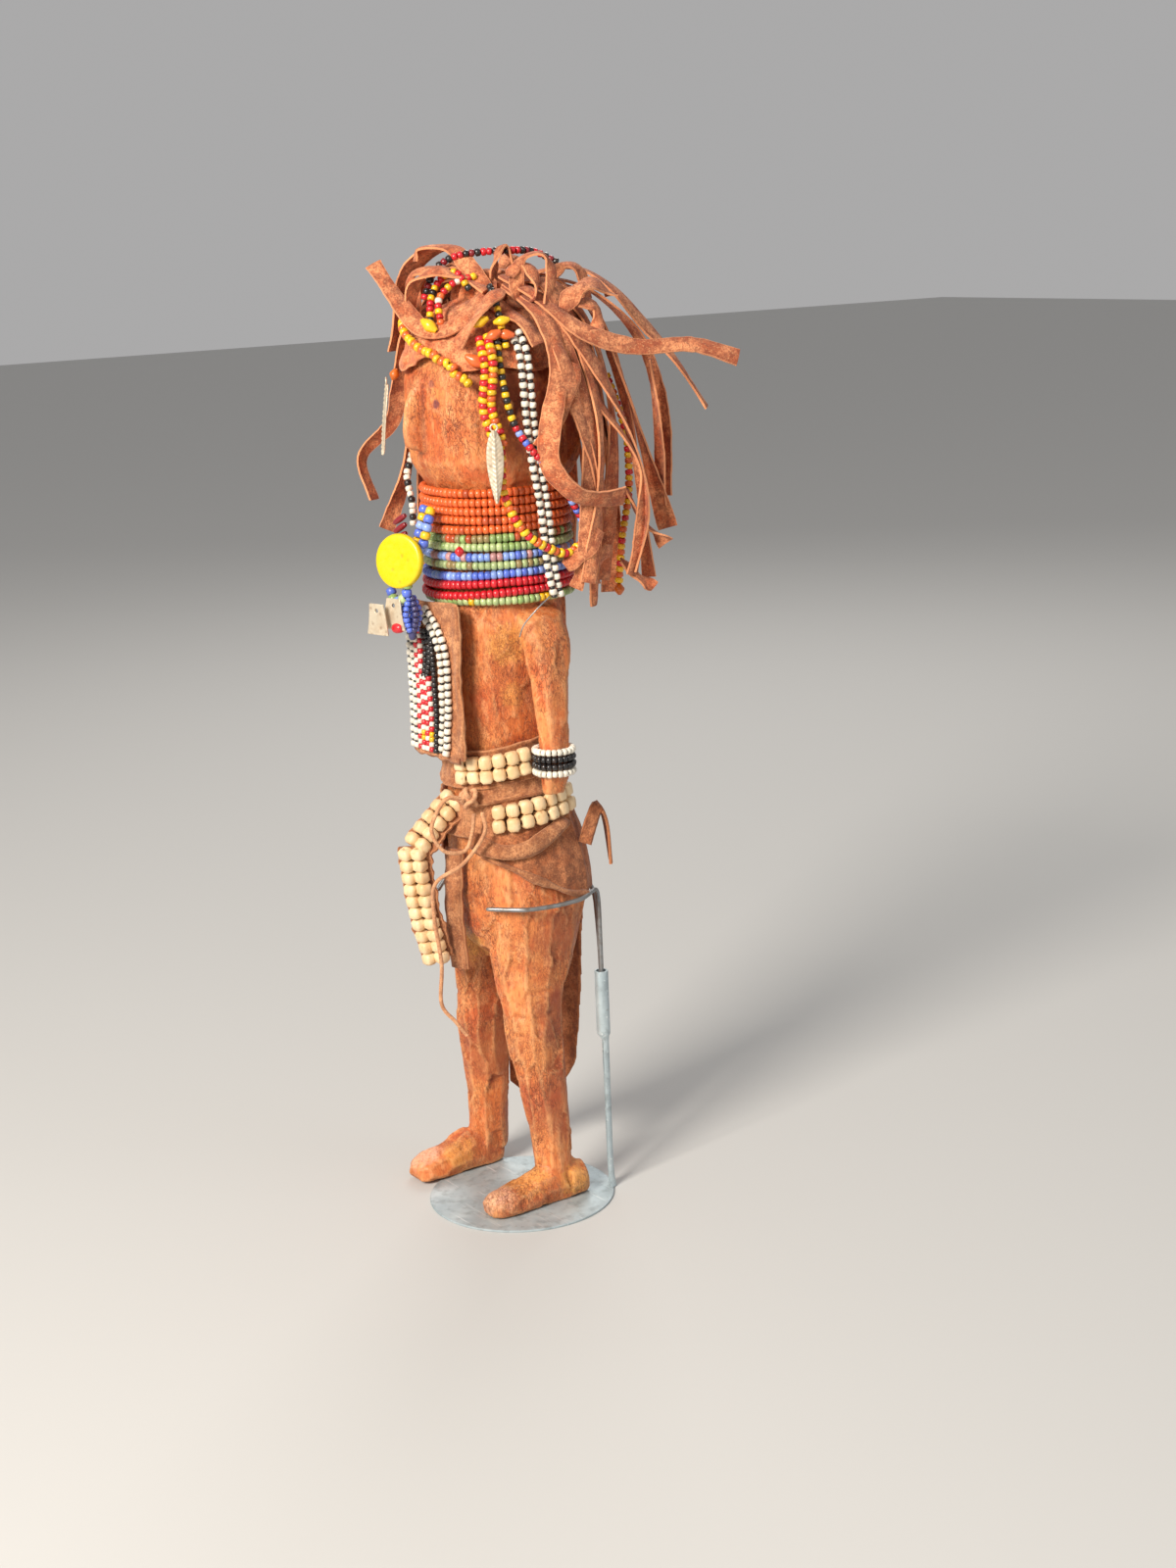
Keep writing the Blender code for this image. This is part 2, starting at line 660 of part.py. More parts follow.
def build_stand_wire(finish):
    """One wire: round both hips, down both legs of the clip and round inside the tube."""
    post = post_place()
    half = WIRE_DIAMETER / 2
    across = direction(POST_BEARING + math.pi / 2)
    spread = (POST_TUBE_RADIUS - POST_WALL - half) * 0.55
    turn_height = POST_HEIGHT - POST_TUBE_LENGTH + WIRE_TURN_RISE
    hip_clear = SKIRT_CLEAR + FACET_SLACK + SKIRT_THICKNESS + GAP + half
    held = max(CLIP_HEIGHT, height_of(SKIRT_HANG))
    leg_heights = (
        POST_HEIGHT + WIRE_NARROWING, POST_HEIGHT + WIRE_NARROWING / 4,
        POST_HEIGHT - WIRE_NARROWING / 3, turn_height,
    )

    def beside_hip(bearing, clear, height):
        """Clear of the skirt, which falls straight below the height where it hangs free."""
        spot = centre_at(held) + direction(bearing) * (draped_reach(bearing, held) + clear)
        spot.z = height
        return spot

    def arm(side, bearings):
        hip = [beside_hip(math.radians(b), hip_clear, CLIP_HEIGHT) for b in bearings]
        leg = post - across * side * spread
        away = hip[-1].lerp(leg, 0.35) - centre_at(held)
        bend = beside_hip(math.atan2(away.x, -away.y), hip_clear + WIRE_DIAMETER,
                          CLIP_HEIGHT - CLIP_DROP)
        rise = [leg.copy() for _ in leg_heights]
        rise[0] = leg.lerp(bend, 0.2)
        for spot, height in zip(rise, leg_heights):
            spot.z = height
        return hip + [bend] + rise

    turn = post + Vector((0, 0, turn_height - spread))
    left = arm(1, LEFT_CLIP)
    right = arm(-1, RIGHT_CLIP)
    tube("stand_wire", smooth_curve(left + [turn] + right[::-1], 3), half, finish)


def bead_rows(name, heights, place, bead, finish, sides=FACETS):
    """Rows of beads fused into one closed ring. place(angle, out, height) gives its points."""
    half = bead / 2
    ordered = sorted(heights)
    profile = [(0.0, ordered[0] - half * 0.8), (0.0, ordered[-1] + half * 0.8)]
    for row in reversed(ordered):
        profile.append((bead * 0.72, row + half * 0.92))
        profile.append((bead, row))
    profile.append((bead * 0.72, ordered[0] - half * 0.92))
    rings = []
    for i in range(sides):
        angle = 2 * math.pi * i / sides
        rings.append([place(angle, out, height) for out, height in profile])
    loft(name, rings, finish, closed=True, smooth_angle=40)


def build_neck_beads():
    def place(angle, out, height):
        middle = Vector((FIGURE_OFFSET, drawn(section_at(TRUNK, height_of(CHIN_ROW))[1]), height))
        return middle + direction(angle) * (neck_reach(angle) + out)

    row = 0
    for name, count, colour in NECK_ROWS:
        heights = [neck_height(row + i) for i in range(count)]
        bead_rows(name, heights, place, NECK_BEAD - GAP, material(name, colour, 0.35))
        row += count


def build_bracelet(name, side, finish):
    top = height_of(BRACELET_TOP)
    heights = [top - i * (BRACELET_BEAD + ROW_SLACK) for i in range(BRACELET_ROWS)]
    rows = [section_at(ARM, height) for height in (heights[0], heights[-1])]
    half_width = max(drawn(row[3]) for row in rows) + FACET_SLACK
    half_depth = max(drawn(row[4]) for row in rows) + FACET_SLACK

    def place(angle, out, height):
        _, offset, centre, _, _ = section_at(ARM, height)
        x = side * drawn(offset) + (half_width + out) * math.cos(angle)
        y = drawn(centre) + (half_depth + out) * math.sin(angle)
        return Vector((FIGURE_OFFSET + x, y, height))

    bead_rows(name, heights, place, BRACELET_BEAD, finish, sides=10)


def band_height(belt, bearing):
    """A belt hangs lower at the front than at the back."""
    middle, tilt = belt
    return height_of(middle) + drawn(tilt) * (0.5 - 0.5 * math.cos(bearing))


def build_belt(name, belt, finish, sides=20):
    rings = []
    for i in range(sides):
        bearing = 2 * math.pi * i / sides
        middle = band_height(belt, bearing)
        low, high = middle - BELT_WIDTH / 2, middle + BELT_WIDTH / 2
        outline = ((low, 0.0), (high, 0.0), (high, BELT_LEATHER), (low, BELT_LEATHER))
        rings.append([body_point(bearing, z, FACET_SLACK + out) for z, out in outline])
    loft(name, rings, finish, closed=True)


def bead_band(name, line, outward, size, finish):
    """Two rows of squarish beads side by side, fused along a line."""
    length = sum((b - a).length for a, b in zip(line, line[1:]))
    beads = max(1, round(length / size))
    along = tangents(line)
    outline = (
        (-1.0, 0.0), (-1.0, 0.6), (-0.55, 0.88), (0.0, 0.68), (0.55, 0.88), (1.0, 0.6), (1.0, 0.0),
    )
    rings = []
    for bead in range(beads):
        for part, swell in ((0.06, 0.82), (0.5, 1.0), (0.94, 0.82)):
            spot = (bead + part) / beads * (len(line) - 1)
            i = min(int(spot), len(line) - 2)
            here = line[i].lerp(line[i + 1], spot - i)
            ahead = along[i].lerp(along[i + 1], spot - i).normalized()
            side = ahead.cross(outward(here)).normalized()
            out = side.cross(ahead).normalized()
            rings.append([here + (side * x + out * y) * size * swell for x, y in outline])
    loft(name, rings, finish)


def build_belts(leather, bone):
    clear = 2 * FACET_SLACK + BELT_LEATHER
    parts = (("belt_upper", UPPER_BELT, 8, 62), ("belt_lower", LOWER_BELT, 47, 118))
    for name, belt, first, last in parts:
        build_belt(name + "_leather", belt, leather)
        bearings = [math.radians(first + (last - first) * i / BELT_FACETS)
                    for i in range(BELT_FACETS + 1)]
        line = [body_point(b, band_height(belt, b), clear) for b in bearings]
        bead_band(name + "_beads", line, outward_from_body, BELT_BEAD, bone)


def build_apron(leather, bone):
    """A beaded strap that leaves the belts' knot at the front, juts out and then hangs."""
    bearing, share = APRON_START
    start = body_point(math.radians(bearing), height_of(share), 2 * FACET_SLACK + 2 * BELT_LEATHER)
    elbow = start + Vector([drawn(value) for value in APRON_REACH])
    tip = elbow + Vector([drawn(value) for value in APRON_HANG])
    corners = [start, start.lerp(elbow, 0.5), elbow, elbow.lerp(tip, 0.5), tip]
    line = without_straights(smooth_curve(corners, 3))
    forward = Vector((0.25, -0.9, 0.3)).normalized()

    def facing(_):
        return forward

    ribbon("apron_leather", line, BELT_WIDTH, BELT_LEATHER, leather, facing)
    lifted = []
    for here, along in zip(line, tangents(line)):
        out = (forward - along * forward.dot(along)).normalized()
        lifted.append(here + out * (BELT_LEATHER / 2 + GAP))
    bead_band("apron_beads", lifted[1:], facing, BELT_BEAD, bone)
    bearing, high, held, low = UNDER_STRAP
    top = body_point(math.radians(bearing), height_of(high), drawn(5.0))
    foot = body_point(math.radians(bearing), height_of(held), drawn(6.0))
    foot.z = height_of(low)
    middle = top.lerp(foot, 0.5) + Vector((0.0, drawn(-1.5), 0.0))
    strap = smooth_curve([top, middle, foot], 4)
    ribbon("apron_under_strap", strap, STRAP_WIDTH, BELT_LEATHER, leather, outward_from_body)


def build_waist_knot(leather):
    """A small lump of knotted leather in front of the gap between the belts."""
    bearing, share, size = KNOT
    radius = drawn(size)
    clear = 2 * FACET_SLACK + 2 * BELT_LEATHER + radius
    middle = body_point(math.radians(bearing), height_of(share), clear)
    rings = []
    for i in range(6):
        angle = math.pi * (i + 0.5) / 6
        turns = (2 * math.pi * j / 8 for j in range(8))
        flat, up = radius * math.sin(angle), -radius * 1.3 * math.cos(angle)
        rings.append([middle + direction(a) * flat + Vector((0, 0, up)) for a in turns])
    loft("waist_knot", rings, leather, smooth_angle=60)


def build_lace(name, points, steps, finish):
    """A round lace, as a curve with filled ends."""
    line = smooth_curve(route(points, LACE_DIAMETER / 2), steps)
    data = bpy.data.curves.new(name, "CURVE")
    data.dimensions = "3D"
    data.bevel_depth = LACE_DIAMETER / 2
    data.bevel_resolution = 2
    data.use_fill_caps = True
    spline = data.splines.new("POLY")
    spline.points.add(len(line) - 1)
    for spot, here in zip(spline.points, line):
        spot.co = (*here, 1.0)
    data.materials.append(finish)
    bpy.context.scene.collection.objects.link(bpy.data.objects.new(name, data))


def draped_reach(bearing, height):
    """Leather bridges the hollows above and below each point."""
    span = drawn(6.0)
    return max(body_reach(bearing, height + z) for z in (-span, 0.0, span))


def build_skirt(leather):
    """A back apron of leather: it wraps the hips and falls in a tail behind the legs."""
    rows, columns = SKIRT_ROWS, len(SKIRT_EDGE)
    hang_from = height_of(SKIRT_HANG)
    inner, outer = [], []
    for row in range(rows):
        down = (row / (rows - 1)) ** 1.4
        for degrees, share in SKIRT_EDGE:
            bearing = math.radians(degrees)
            top = band_height(LOWER_BELT, bearing) - BELT_WIDTH / 2 - GAP
            height = top + (height_of(share) - top) * down
            held = max(height, hang_from)
            fallen = (held - height) / hang_from
            here = centre_at(held)
            here += direction(bearing) * (draped_reach(bearing, held) + SKIRT_CLEAR)
            here.y -= drawn(SKIRT_LEAN) * fallen
            here.z = height
            inner.append(here)
            outer.append(here + direction(bearing) * SKIRT_THICKNESS)
    size = rows * columns
    faces = []
    for row in range(rows - 1):
        for column in range(columns - 1):
            a = row * columns + column
            quad = (a, a + 1, a + 1 + columns, a + columns)
            faces.append(quad)
            faces.append(tuple(size + n for n in reversed(quad)))
    rim = list(range(columns))
    rim += [row * columns + columns - 1 for row in range(1, rows)]
    rim += [(rows - 1) * columns + column for column in range(columns - 2, -1, -1)]
    rim += [row * columns for row in range(rows - 2, 0, -1)]
    for a, b in zip(rim, rim[1:] + rim[:1]):
        faces.append((a, b, size + b, size + a))
    add_object("skirt", inner + outer, faces, leather)


def build_skirt_loop(leather):
    """A loose end of the skirt's leather that stands up behind the left hip."""
    line = smooth_curve(route(SKIRT_LOOP_ROUTE, BELT_LEATHER / 2), 3)
    ribbon("skirt_loop", line, drawn(4.5), BELT_LEATHER, leather, outward_from_body)


def cap_ring(share, clear, sides=FACETS):
    """A ring of the cap, square to the head's rounded top."""
    step = drawn(1.0)
    height = height_of(share)
    rings = []
    for i in range(sides):
        bearing = 2 * math.pi * i / sides
        wider = body_reach(bearing, height - step) - body_reach(bearing, height)
        out = Vector((direction(bearing).x, direction(bearing).y, wider / step)).normalized()
        rings.append(body_point(bearing, height) + out * clear)
    return rings


def crown_ring(radius, clear, sides=FACETS):
    """The small ring that closes the cap over the top of the head."""
    middle = centre_at(height_of(SHARES)) + Vector((0, 0, clear))
    return [middle + direction(2 * math.pi * i / sides) * radius for i in range(sides)]


def back_strip(number):
    """A strip over the part of the head that is turned away: the same fall, varied by its place."""
    bearing = BACK_START + BACK_SPREAD * number / (BACK_STRIPS - 1)
    sway = math.sin(number * 2.4)
    reach = 42.0 + 3.0 * sway
    tip = BACK_TIPS[0] + BACK_TIPS[1] * math.sin(number * 1.7 + 1.0)
    drift = 4.0 * math.sin(number * 3.1)
    return (
        (bearing, 11, 368.0),
        (bearing, 24, 369.0 + 2.0 * sway),
        (bearing, 37, 353.0),
        (bearing + drift / 2, reach, BACK_NAPE),
        (bearing + drift, reach + 3.0, (BACK_NAPE + tip) / 2),
        (bearing + drift, reach + 1.0, tip),
    )


def build_hair(leather):
    """The leather cap, the tied tuft on its crown and the strips that fall from it."""
    outer = FACET_SLACK + CAP_THICKNESS
    shares = (361.0, 358.0, 355.0, 350.0, 346.0, HAIRLINE)
    rings = [crown_ring(drawn(5.0), outer)] + [cap_ring(share, outer) for share in shares]
    rings += [cap_ring(share, FACET_SLACK) for share in reversed(shares)]
    rings += [crown_ring(drawn(5.0), FACET_SLACK)]
    hair = loft("hair_leather", rings, leather)
    top = height_of(SHARES) + FACET_SLACK + CAP_THICKNESS / 2
    axis = Vector((FIGURE_OFFSET, drawn(HEAD_AXIS), top))
    tuft = []
    for radius, rise in TUFT:
        turns = (2 * math.pi * i / 12 for i in range(12))
        tuft.append([axis + direction(a) * drawn(radius) + Vector((0, 0, drawn(rise)))
                     for a in turns])
    shapes = [loft("tuft_shape", tuft)]
    routes = list(STRIPS) + [back_strip(i) for i in range(BACK_STRIPS)]
    for i, points in enumerate(routes):
        line = smooth_curve(route(points, STRIP_THICKNESS / 2), 2)
        shapes.append(ribbon(f"strip_shape_{i + 1:02}", line, STRIP_WIDTH, STRIP_THICKNESS, None,
                             strip_facing, least=15.0))
    join_into(hair, shapes)


def build_strands():
    for name, colour, points in STRANDS:
        over_neck = STRAND_BEAD + GAP if name == OVER_STRAND else 0.0
        line = smooth_curve(route(points, STRAND_BEAD / 2, over_neck), 3)
        strand = tube(name, line, STRAND_BEAD / 2, material(name, colour, 0.3), sides=6)
        if name == "strand_forehead":
            ovals = []
            for share in FOREHEAD_OVALS:
                i = int(share * (len(line) - 1))
                along = tangents(line)[i]
                half = STRAND_BEAD / 2 * OVAL_SWELL
                spindle = [line[i] + along * half * OVAL_LENGTH * t for t in (-1, -0.5, 0.5, 1)]
                ovals.append(tube(f"oval_shape_{i}", spindle, half, None, sides=8))
            join_into(strand, ovals)


def build_leaves(finish):
    """Thin pointed leaves of metal that hang beside the face, over the strings."""
    sides = 12
    outline = []
    for i in range(sides):
        angle = 2 * math.pi * i / sides
        narrow = 1.0 - 0.35 * math.sin(angle)
        outline.append((LEAF_WIDTH / 2 * math.cos(angle) * narrow, LEAF_LENGTH / 2 * math.sin(angle)))
    over_strings = 2 * (STRAND_BEAD + GAP) + FACET_SLACK + LEAF_THICKNESS
    for name, bearing, reach, share in LEAVES:
        way = direction(math.radians(bearing))
        least = worn_reach(math.radians(bearing), height_of(share) - LEAF_LENGTH) + over_strings
        middle = Vector((FIGURE_OFFSET, drawn(HEAD_AXIS), height_of(share) - LEAF_LENGTH / 2))
        middle += way * max(drawn(reach), least)
        across = Vector((0, 0, 1)).cross(way).normalized()
        plate(name, outline, middle, across, Vector((0, 0, 1)), LEAF_THICKNESS, finish)


def bib_middle():
    return Vector((FIGURE_OFFSET, drawn(BIB_FRONT), height_of(BIB_TOP - BIB_FALL / 2)))


def build_bib(leather, glass):
    """A stiff leather panel in front of the chest, with columns of beads sewn on it."""
    half, tall = BIB_WIDTH / 2, drawn(BIB_FALL) / 2
    outline = ((-half, -tall * 0.94), (half * 0.9, -tall), (half, tall * 0.97), (-half * 0.95, tall))
    x_axis, up = Vector((1, 0, 0)), Vector((0, 0, 1))
    plate("bib_leather", outline, bib_middle(), x_axis, up, BIB_LEATHER, leather)
    back = bib_middle().y - BIB_LEATHER / 2 - GAP
    pitch = BIB_WIDTH * 0.86 / BIB_COLUMNS
    first = bib_middle().x - BIB_WIDTH * 0.47
    profile = [(first, back)]
    for column in range(BIB_COLUMNS):
        x = first + column * pitch
        for share, proud in ((0.12, 0.55), (0.35, 1.0), (0.65, 1.0), (0.88, 0.55)):
            profile.append((x + pitch * share, back - BIB_BEAD * proud))
    profile.append((first + BIB_COLUMNS * pitch, back))
    levels = (bib_middle().z - tall * 0.9, bib_middle().z + tall * 0.92)
    rings = [[Vector((x, y, z)) for x, y in profile] for z in levels]
    loft("bib_beads", rings, glass)


def build_front_ornaments(yellow, blue, metal, red):
    """A yellow disc on a beaded strand, with two plates and a small bundle below it."""
    ahead, share = BUTTON_PLACE
    middle = Vector((FIGURE_OFFSET, drawn(ahead), height_of(share)))
    facing = Vector(BUTTON_FACING).normalized()
    across = Vector((0, 0, 1)).cross(facing).normalized()
    up = facing.cross(across).normalized()
    half, edge = BUTTON_THICKNESS / 2, BUTTON_THICKNESS / 5
    rings = []
    for shrink, out in ((edge, -half), (0.0, edge - half), (0.0, half - edge), (edge, half)):
        radius = BUTTON_RADIUS - shrink
        turns = (2 * math.pi * i / 20 for i in range(20))
        rings.append([middle + facing * out + (across * math.cos(a) + up * math.sin(a)) * radius
                      for a in turns])
    loft("button_disc", rings, yellow, smooth_angle=50)
    behind = middle - facing * (half + GAP + STRAND_BEAD)
    out = neck_reach(0.0) + NECK_BEAD + STRAND_BEAD + 2 * GAP
    held = Vector((FIGURE_OFFSET + drawn(4.0), drawn(HEAD_AXIS) - out, neck_height(1)))
    hang = (
        held,
        Vector((held.x, held.y - drawn(3.0), neck_height(4))),
        behind,
        behind + Vector((drawn(-3.0), drawn(-2.0), -BUTTON_RADIUS - drawn(2.0))),
    )
    tube("disc_strands", smooth_curve(hang, 3), STRAND_BEAD, blue, sides=8)
    low = middle.z - BUTTON_RADIUS - drawn(3.0)
    shape = [(x * PENDANT_LENGTH, y * PENDANT_LENGTH) for x, y in PENDANT_OUTLINE]
    for name, x, y, drop in PENDANTS:
        spot = Vector((FIGURE_OFFSET + drawn(x), drawn(y), low - drawn(drop)))
        plate(name, shape, spot, across, Vector((0, 0, 1)), PENDANT_THICKNESS, metal)
    x, y, drop, length, radius = (drawn(value) for value in BUNDLE)
    top = Vector((FIGURE_OFFSET + x, y, low - drop))
    foot = top - Vector((0, 0, length))
    tube("bundle_beads", [top, top.lerp(foot, 0.5), foot], radius, red, sides=8)


def main():
    clear_scene()
    wood = material("ochre_wood", (0.52, 0.20, 0.09), 0.6)
    zinc = material("zinc_sheet", (0.42, 0.46, 0.46), 0.4, 0.85)
    steel = material("steel_wire", (0.30, 0.30, 0.29), 0.4, 0.9)
    pale_metal = material("pale_metal", (0.62, 0.58, 0.48), 0.35, 0.8)
    leather = material("ochre_leather", (0.42, 0.20, 0.12), 0.85)
    bone = material("cream_bead", (0.78, 0.62, 0.42), 0.45)
    white_glass = material("white_glass", (0.75, 0.72, 0.66), 0.3)
    yellow = material("yellow_button", (0.85, 0.72, 0.02), 0.35)
    blue_glass = material("blue_glass", (0.16, 0.28, 0.66), 0.3)
    red_glass = material("red_glass", (0.40, 0.04, 0.08), 0.3)
    build_figure(wood)
    build_stand_base(zinc)
    build_stand_wire(steel)
    build_neck_beads()
    build_bracelet("bracelet_left", 1, white_glass)
    build_bracelet("bracelet_right", -1, white_glass)
    build_belts(leather, bone)
    build_apron(leather, bone)
    build_waist_knot(leather)
    build_lace("waist_bow", BOW_ROUTE, 2, leather)
    build_lace("waist_lace", LACE_ROUTE, 3, leather)
    build_skirt(leather)
    build_skirt_loop(leather)
    build_hair(leather)
    build_strands()
    build_leaves(pale_metal)
    build_bib(leather, white_glass)
    build_front_ornaments(yellow, blue_glass, pale_metal, red_glass)


main()
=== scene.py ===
import math
import random

import bmesh
import bpy
import numpy as np
from mathutils import Matrix, Vector, noise
from mathutils.bvhtree import BVHTree
from mathutils.kdtree import KDTree


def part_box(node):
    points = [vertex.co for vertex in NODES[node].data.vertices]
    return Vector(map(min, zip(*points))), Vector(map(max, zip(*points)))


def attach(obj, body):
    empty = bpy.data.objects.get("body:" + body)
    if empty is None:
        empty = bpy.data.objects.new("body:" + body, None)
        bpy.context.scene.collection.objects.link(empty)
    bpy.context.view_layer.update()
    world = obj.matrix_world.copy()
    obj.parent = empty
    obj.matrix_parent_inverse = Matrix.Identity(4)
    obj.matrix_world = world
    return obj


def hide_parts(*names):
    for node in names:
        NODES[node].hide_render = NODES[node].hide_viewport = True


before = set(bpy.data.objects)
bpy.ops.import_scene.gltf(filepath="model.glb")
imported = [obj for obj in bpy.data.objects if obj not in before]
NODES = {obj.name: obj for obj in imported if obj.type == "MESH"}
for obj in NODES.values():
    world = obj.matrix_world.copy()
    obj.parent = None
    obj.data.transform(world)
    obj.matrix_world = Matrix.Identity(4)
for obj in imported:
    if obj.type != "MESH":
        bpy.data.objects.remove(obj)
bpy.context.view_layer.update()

MM = 0.001

# The doll stands a little to the side of the disc's middle, its soles on the disc
AXIS_X = -12.5 * MM
AXIS_Y = 12.5 * MM
SOLE = 1.2 * MM
CROWN = 362.2 * MM
HAIRLINE = 338.2 * MM
CROTCH = 107.0 * MM
WRIST = 187.0 * MM
FACE_BOTTOM = 296.0 * MM
SEED = 11
# Strips and strings face away from the axis, and above this height from the skull's middle
SKULL_MIDDLE = 336 * MM
# Ridges where a mesh's faces meet at more than this are left sharp: cut leather and sheet metal
LEATHER_RIDGE = math.radians(50)
SHEET_RIDGE = math.radians(38)

# Bead colours, as light reflected
ORANGE = (0.74, 0.13, 0.026)
BURNT = (0.46, 0.075, 0.02)
RED = (0.60, 0.012, 0.022)
MAROON = (0.24, 0.012, 0.02)
YELLOW = (0.86, 0.50, 0.012)
BLACK = (0.014, 0.013, 0.014)
WHITE = (0.82, 0.76, 0.64)
BLUE = (0.10, 0.17, 0.66)
SKY = (0.24, 0.36, 0.78)
PINK = (0.50, 0.25, 0.25)
NAVY = (0.045, 0.045, 0.14)
GREEN = (0.27, 0.40, 0.13)
PALE_GREEN = (0.42, 0.52, 0.23)
OLIVE = (0.30, 0.22, 0.09)
AMBER = (0.60, 0.13, 0.01)
CREAM = (0.80, 0.60, 0.36)


def mm(x, y, z):
    return Vector((x * MM, y * MM, z * MM))


def spot(bearing, reach, share):
    """A point by its bearing (0 front, 90 the doll's left), reach from the axis and height, in mm."""
    angle = math.radians(bearing)
    return Vector((AXIS_X + reach * MM * math.sin(angle), AXIS_Y - reach * MM * math.cos(angle),
                   SOLE + share * MM))


def bearing_of(point):
    return math.atan2(point.x - AXIS_X, AXIS_Y - point.y)


def smooth_curve(points, steps):
    """Points on a Catmull-Rom curve through the given ones."""
    given = [Vector(p) for p in points]
    given = [2 * given[0] - given[1], *given, 2 * given[-1] - given[-2]]
    found = []
    for a, b, c, d in zip(given, given[1:], given[2:], given[3:]):
        for step in range(steps):
            t = step / steps
            bend = (2 * a - 5 * b + 4 * c - d) * t * t + (3 * b - a - 3 * c + d) * t**3
            found.append(0.5 * (2 * b + (c - a) * t + bend))
    return found + [given[-2]]


def line_length(line):
    return sum((b - a).length for a, b in zip(line, line[1:]))


def even_line(line, spacing):
    """The same line with points at an even spacing."""
    total = line_length(line)
    count = max(2, round(total / spacing))
    found, walked, i = [line[0].copy()], 0.0, 0
    for k in range(1, count):
        wanted = total * k / count
        while walked + (line[i + 1] - line[i]).length < wanted:
            walked += (line[i + 1] - line[i]).length
            i += 1
        step = line[i + 1] - line[i]
        found.append(line[i] + step * ((wanted - walked) / max(step.length, 1e-9)))
    return found + [line[-1].copy()]


def tangents(line):
    last = len(line) - 1
    return [(line[min(i + 1, last)] - line[max(i - 1, 0)]).normalized() for i in range(last + 1)]


def away_from_axis(point, rise=0.0):
    """The direction from the doll's upright axis out to a point."""
    return Vector((point.x - AXIS_X, point.y - AXIS_Y, rise)).normalized()


def node_box(node):
    """A node's two corners and its middle."""
    low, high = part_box(node)
    return low, high, (low + high) / 2


def tree_of(meshes):
    """One searchable surface from several meshes."""
    points, faces = [], []
    for mesh in meshes:
        first = len(points)
        points += [v.co.copy() for v in mesh.vertices]
        faces += [tuple(first + i for i in p.vertices) for p in mesh.polygons]
    return BVHTree.FromPolygons(points, faces)


def held_clear(line, surface, distance):
    """The line moved out wherever it comes closer to the surface than the distance."""
    found = []
    for point in line:
        near, normal, _, gap = surface.find_nearest(point)
        inside = (point - near).dot(normal) < 0
        if inside or gap < distance:
            point = near + normal * distance
        found.append(point)
    return found


def eased(line, times=2):
    """The line with its kinks smoothed and its ends kept."""
    for _ in range(times):
        inner = [(a + 2 * b + c) / 4 for a, b, c in zip(line, line[1:], line[2:])]
        line = [line[0], *inner, line[-1]]
    return line


def make_mesh(name, points, faces):
    mesh = bpy.data.meshes.new(name)
    mesh.from_pydata([tuple(p) for p in points], [], faces)
    work = bmesh.new()
    work.from_mesh(mesh)
    bmesh.ops.recalc_face_normals(work, faces=work.faces)
    work.to_mesh(mesh)
    work.free()
    mesh.shade_smooth()
    return mesh


def loft(name, rows, closed=True, caps=(), ring=False):
    """A mesh through rows of points: rows may run round, and caps are the rows that are filled."""
    count = len(rows[0])
    faces = []
    for row in range(len(rows) if ring else len(rows) - 1):
        below, above = row * count, (row + 1) % len(rows) * count
        for column in range(count if closed else count - 1):
            after = (column + 1) % count
            faces.append((below + column, below + after, above + after, above + column))
    faces += [tuple(range(row * count, (row + 1) * count)) for row in caps]
    return make_mesh(name, [point for row in rows for point in row], faces)


def added(name, data):
    """A new object in the scene."""
    made = bpy.data.objects.new(name, data)
    bpy.context.scene.collection.objects.link(made)
    return made


def show(name, mesh, finish=None, replaced=(), slot=None):
    """Adds a finished piece that rides with the doll."""
    piece = added(name, mesh)
    if finish:
        mesh.materials.clear()
        mesh.materials.append(finish)
    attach(piece, "root")
    if replaced:
        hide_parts(*replaced)
    return piece


def applied(holder):
    """The plain mesh of an object with its modifier applied. The object itself goes."""
    graph = bpy.context.evaluated_depsgraph_get()
    done = bpy.data.meshes.new_from_object(holder.evaluated_get(graph))
    bpy.data.objects.remove(holder)
    return done


def settle(mesh, **settings):
    """A mesh with one modifier applied. The settings name the modifier's kind and values."""
    holder = added("holder", mesh)
    change = holder.modifiers.new("change", settings.pop("kind"))
    for key, value in settings.items():
        setattr(change, key, value)
    return applied(holder)


def subdivided(mesh, levels):
    return settle(mesh, kind="SUBSURF", levels=levels, render_levels=levels)


def tube_mesh(name, line, radius, sides):
    """A closed round bar along a line."""
    along = tangents(line)
    across = along[0].orthogonal().normalized()
    rings = []
    for here, ahead in zip(line, along):
        across = (across - ahead * across.dot(ahead)).normalized()
        up = ahead.cross(across)
        turns = [2 * math.pi * i / sides for i in range(sides)]
        rings.append([here + (across * math.cos(a) + up * math.sin(a)) * radius for a in turns])
    return loft(name, rings, caps=(0, len(rings) - 1))


def joined(name, meshes, weld=None):
    """Several meshes as one, with points that lie within the weld distance merged."""
    work = bmesh.new()
    for mesh in meshes:
        work.from_mesh(mesh)
    if weld:
        bmesh.ops.remove_doubles(work, verts=work.verts, dist=weld)
    made = bpy.data.meshes.new(name)
    work.to_mesh(made)
    work.free()
    made.shade_smooth()
    return made


# Shader node groups, each built once and placed with its own values

def add_node(tree, kind, inputs=None, **settings):
    """A node with its settings and inputs. A socket given as an input is linked."""
    made = tree.nodes.new(kind)
    for key, value in settings.items():
        setattr(made, key, value)
    for key, value in (inputs or {}).items():
        if isinstance(value, bpy.types.NodeSocket):
            tree.links.new(value, made.inputs[key])
        else:
            made.inputs[key].default_value = value
    return made


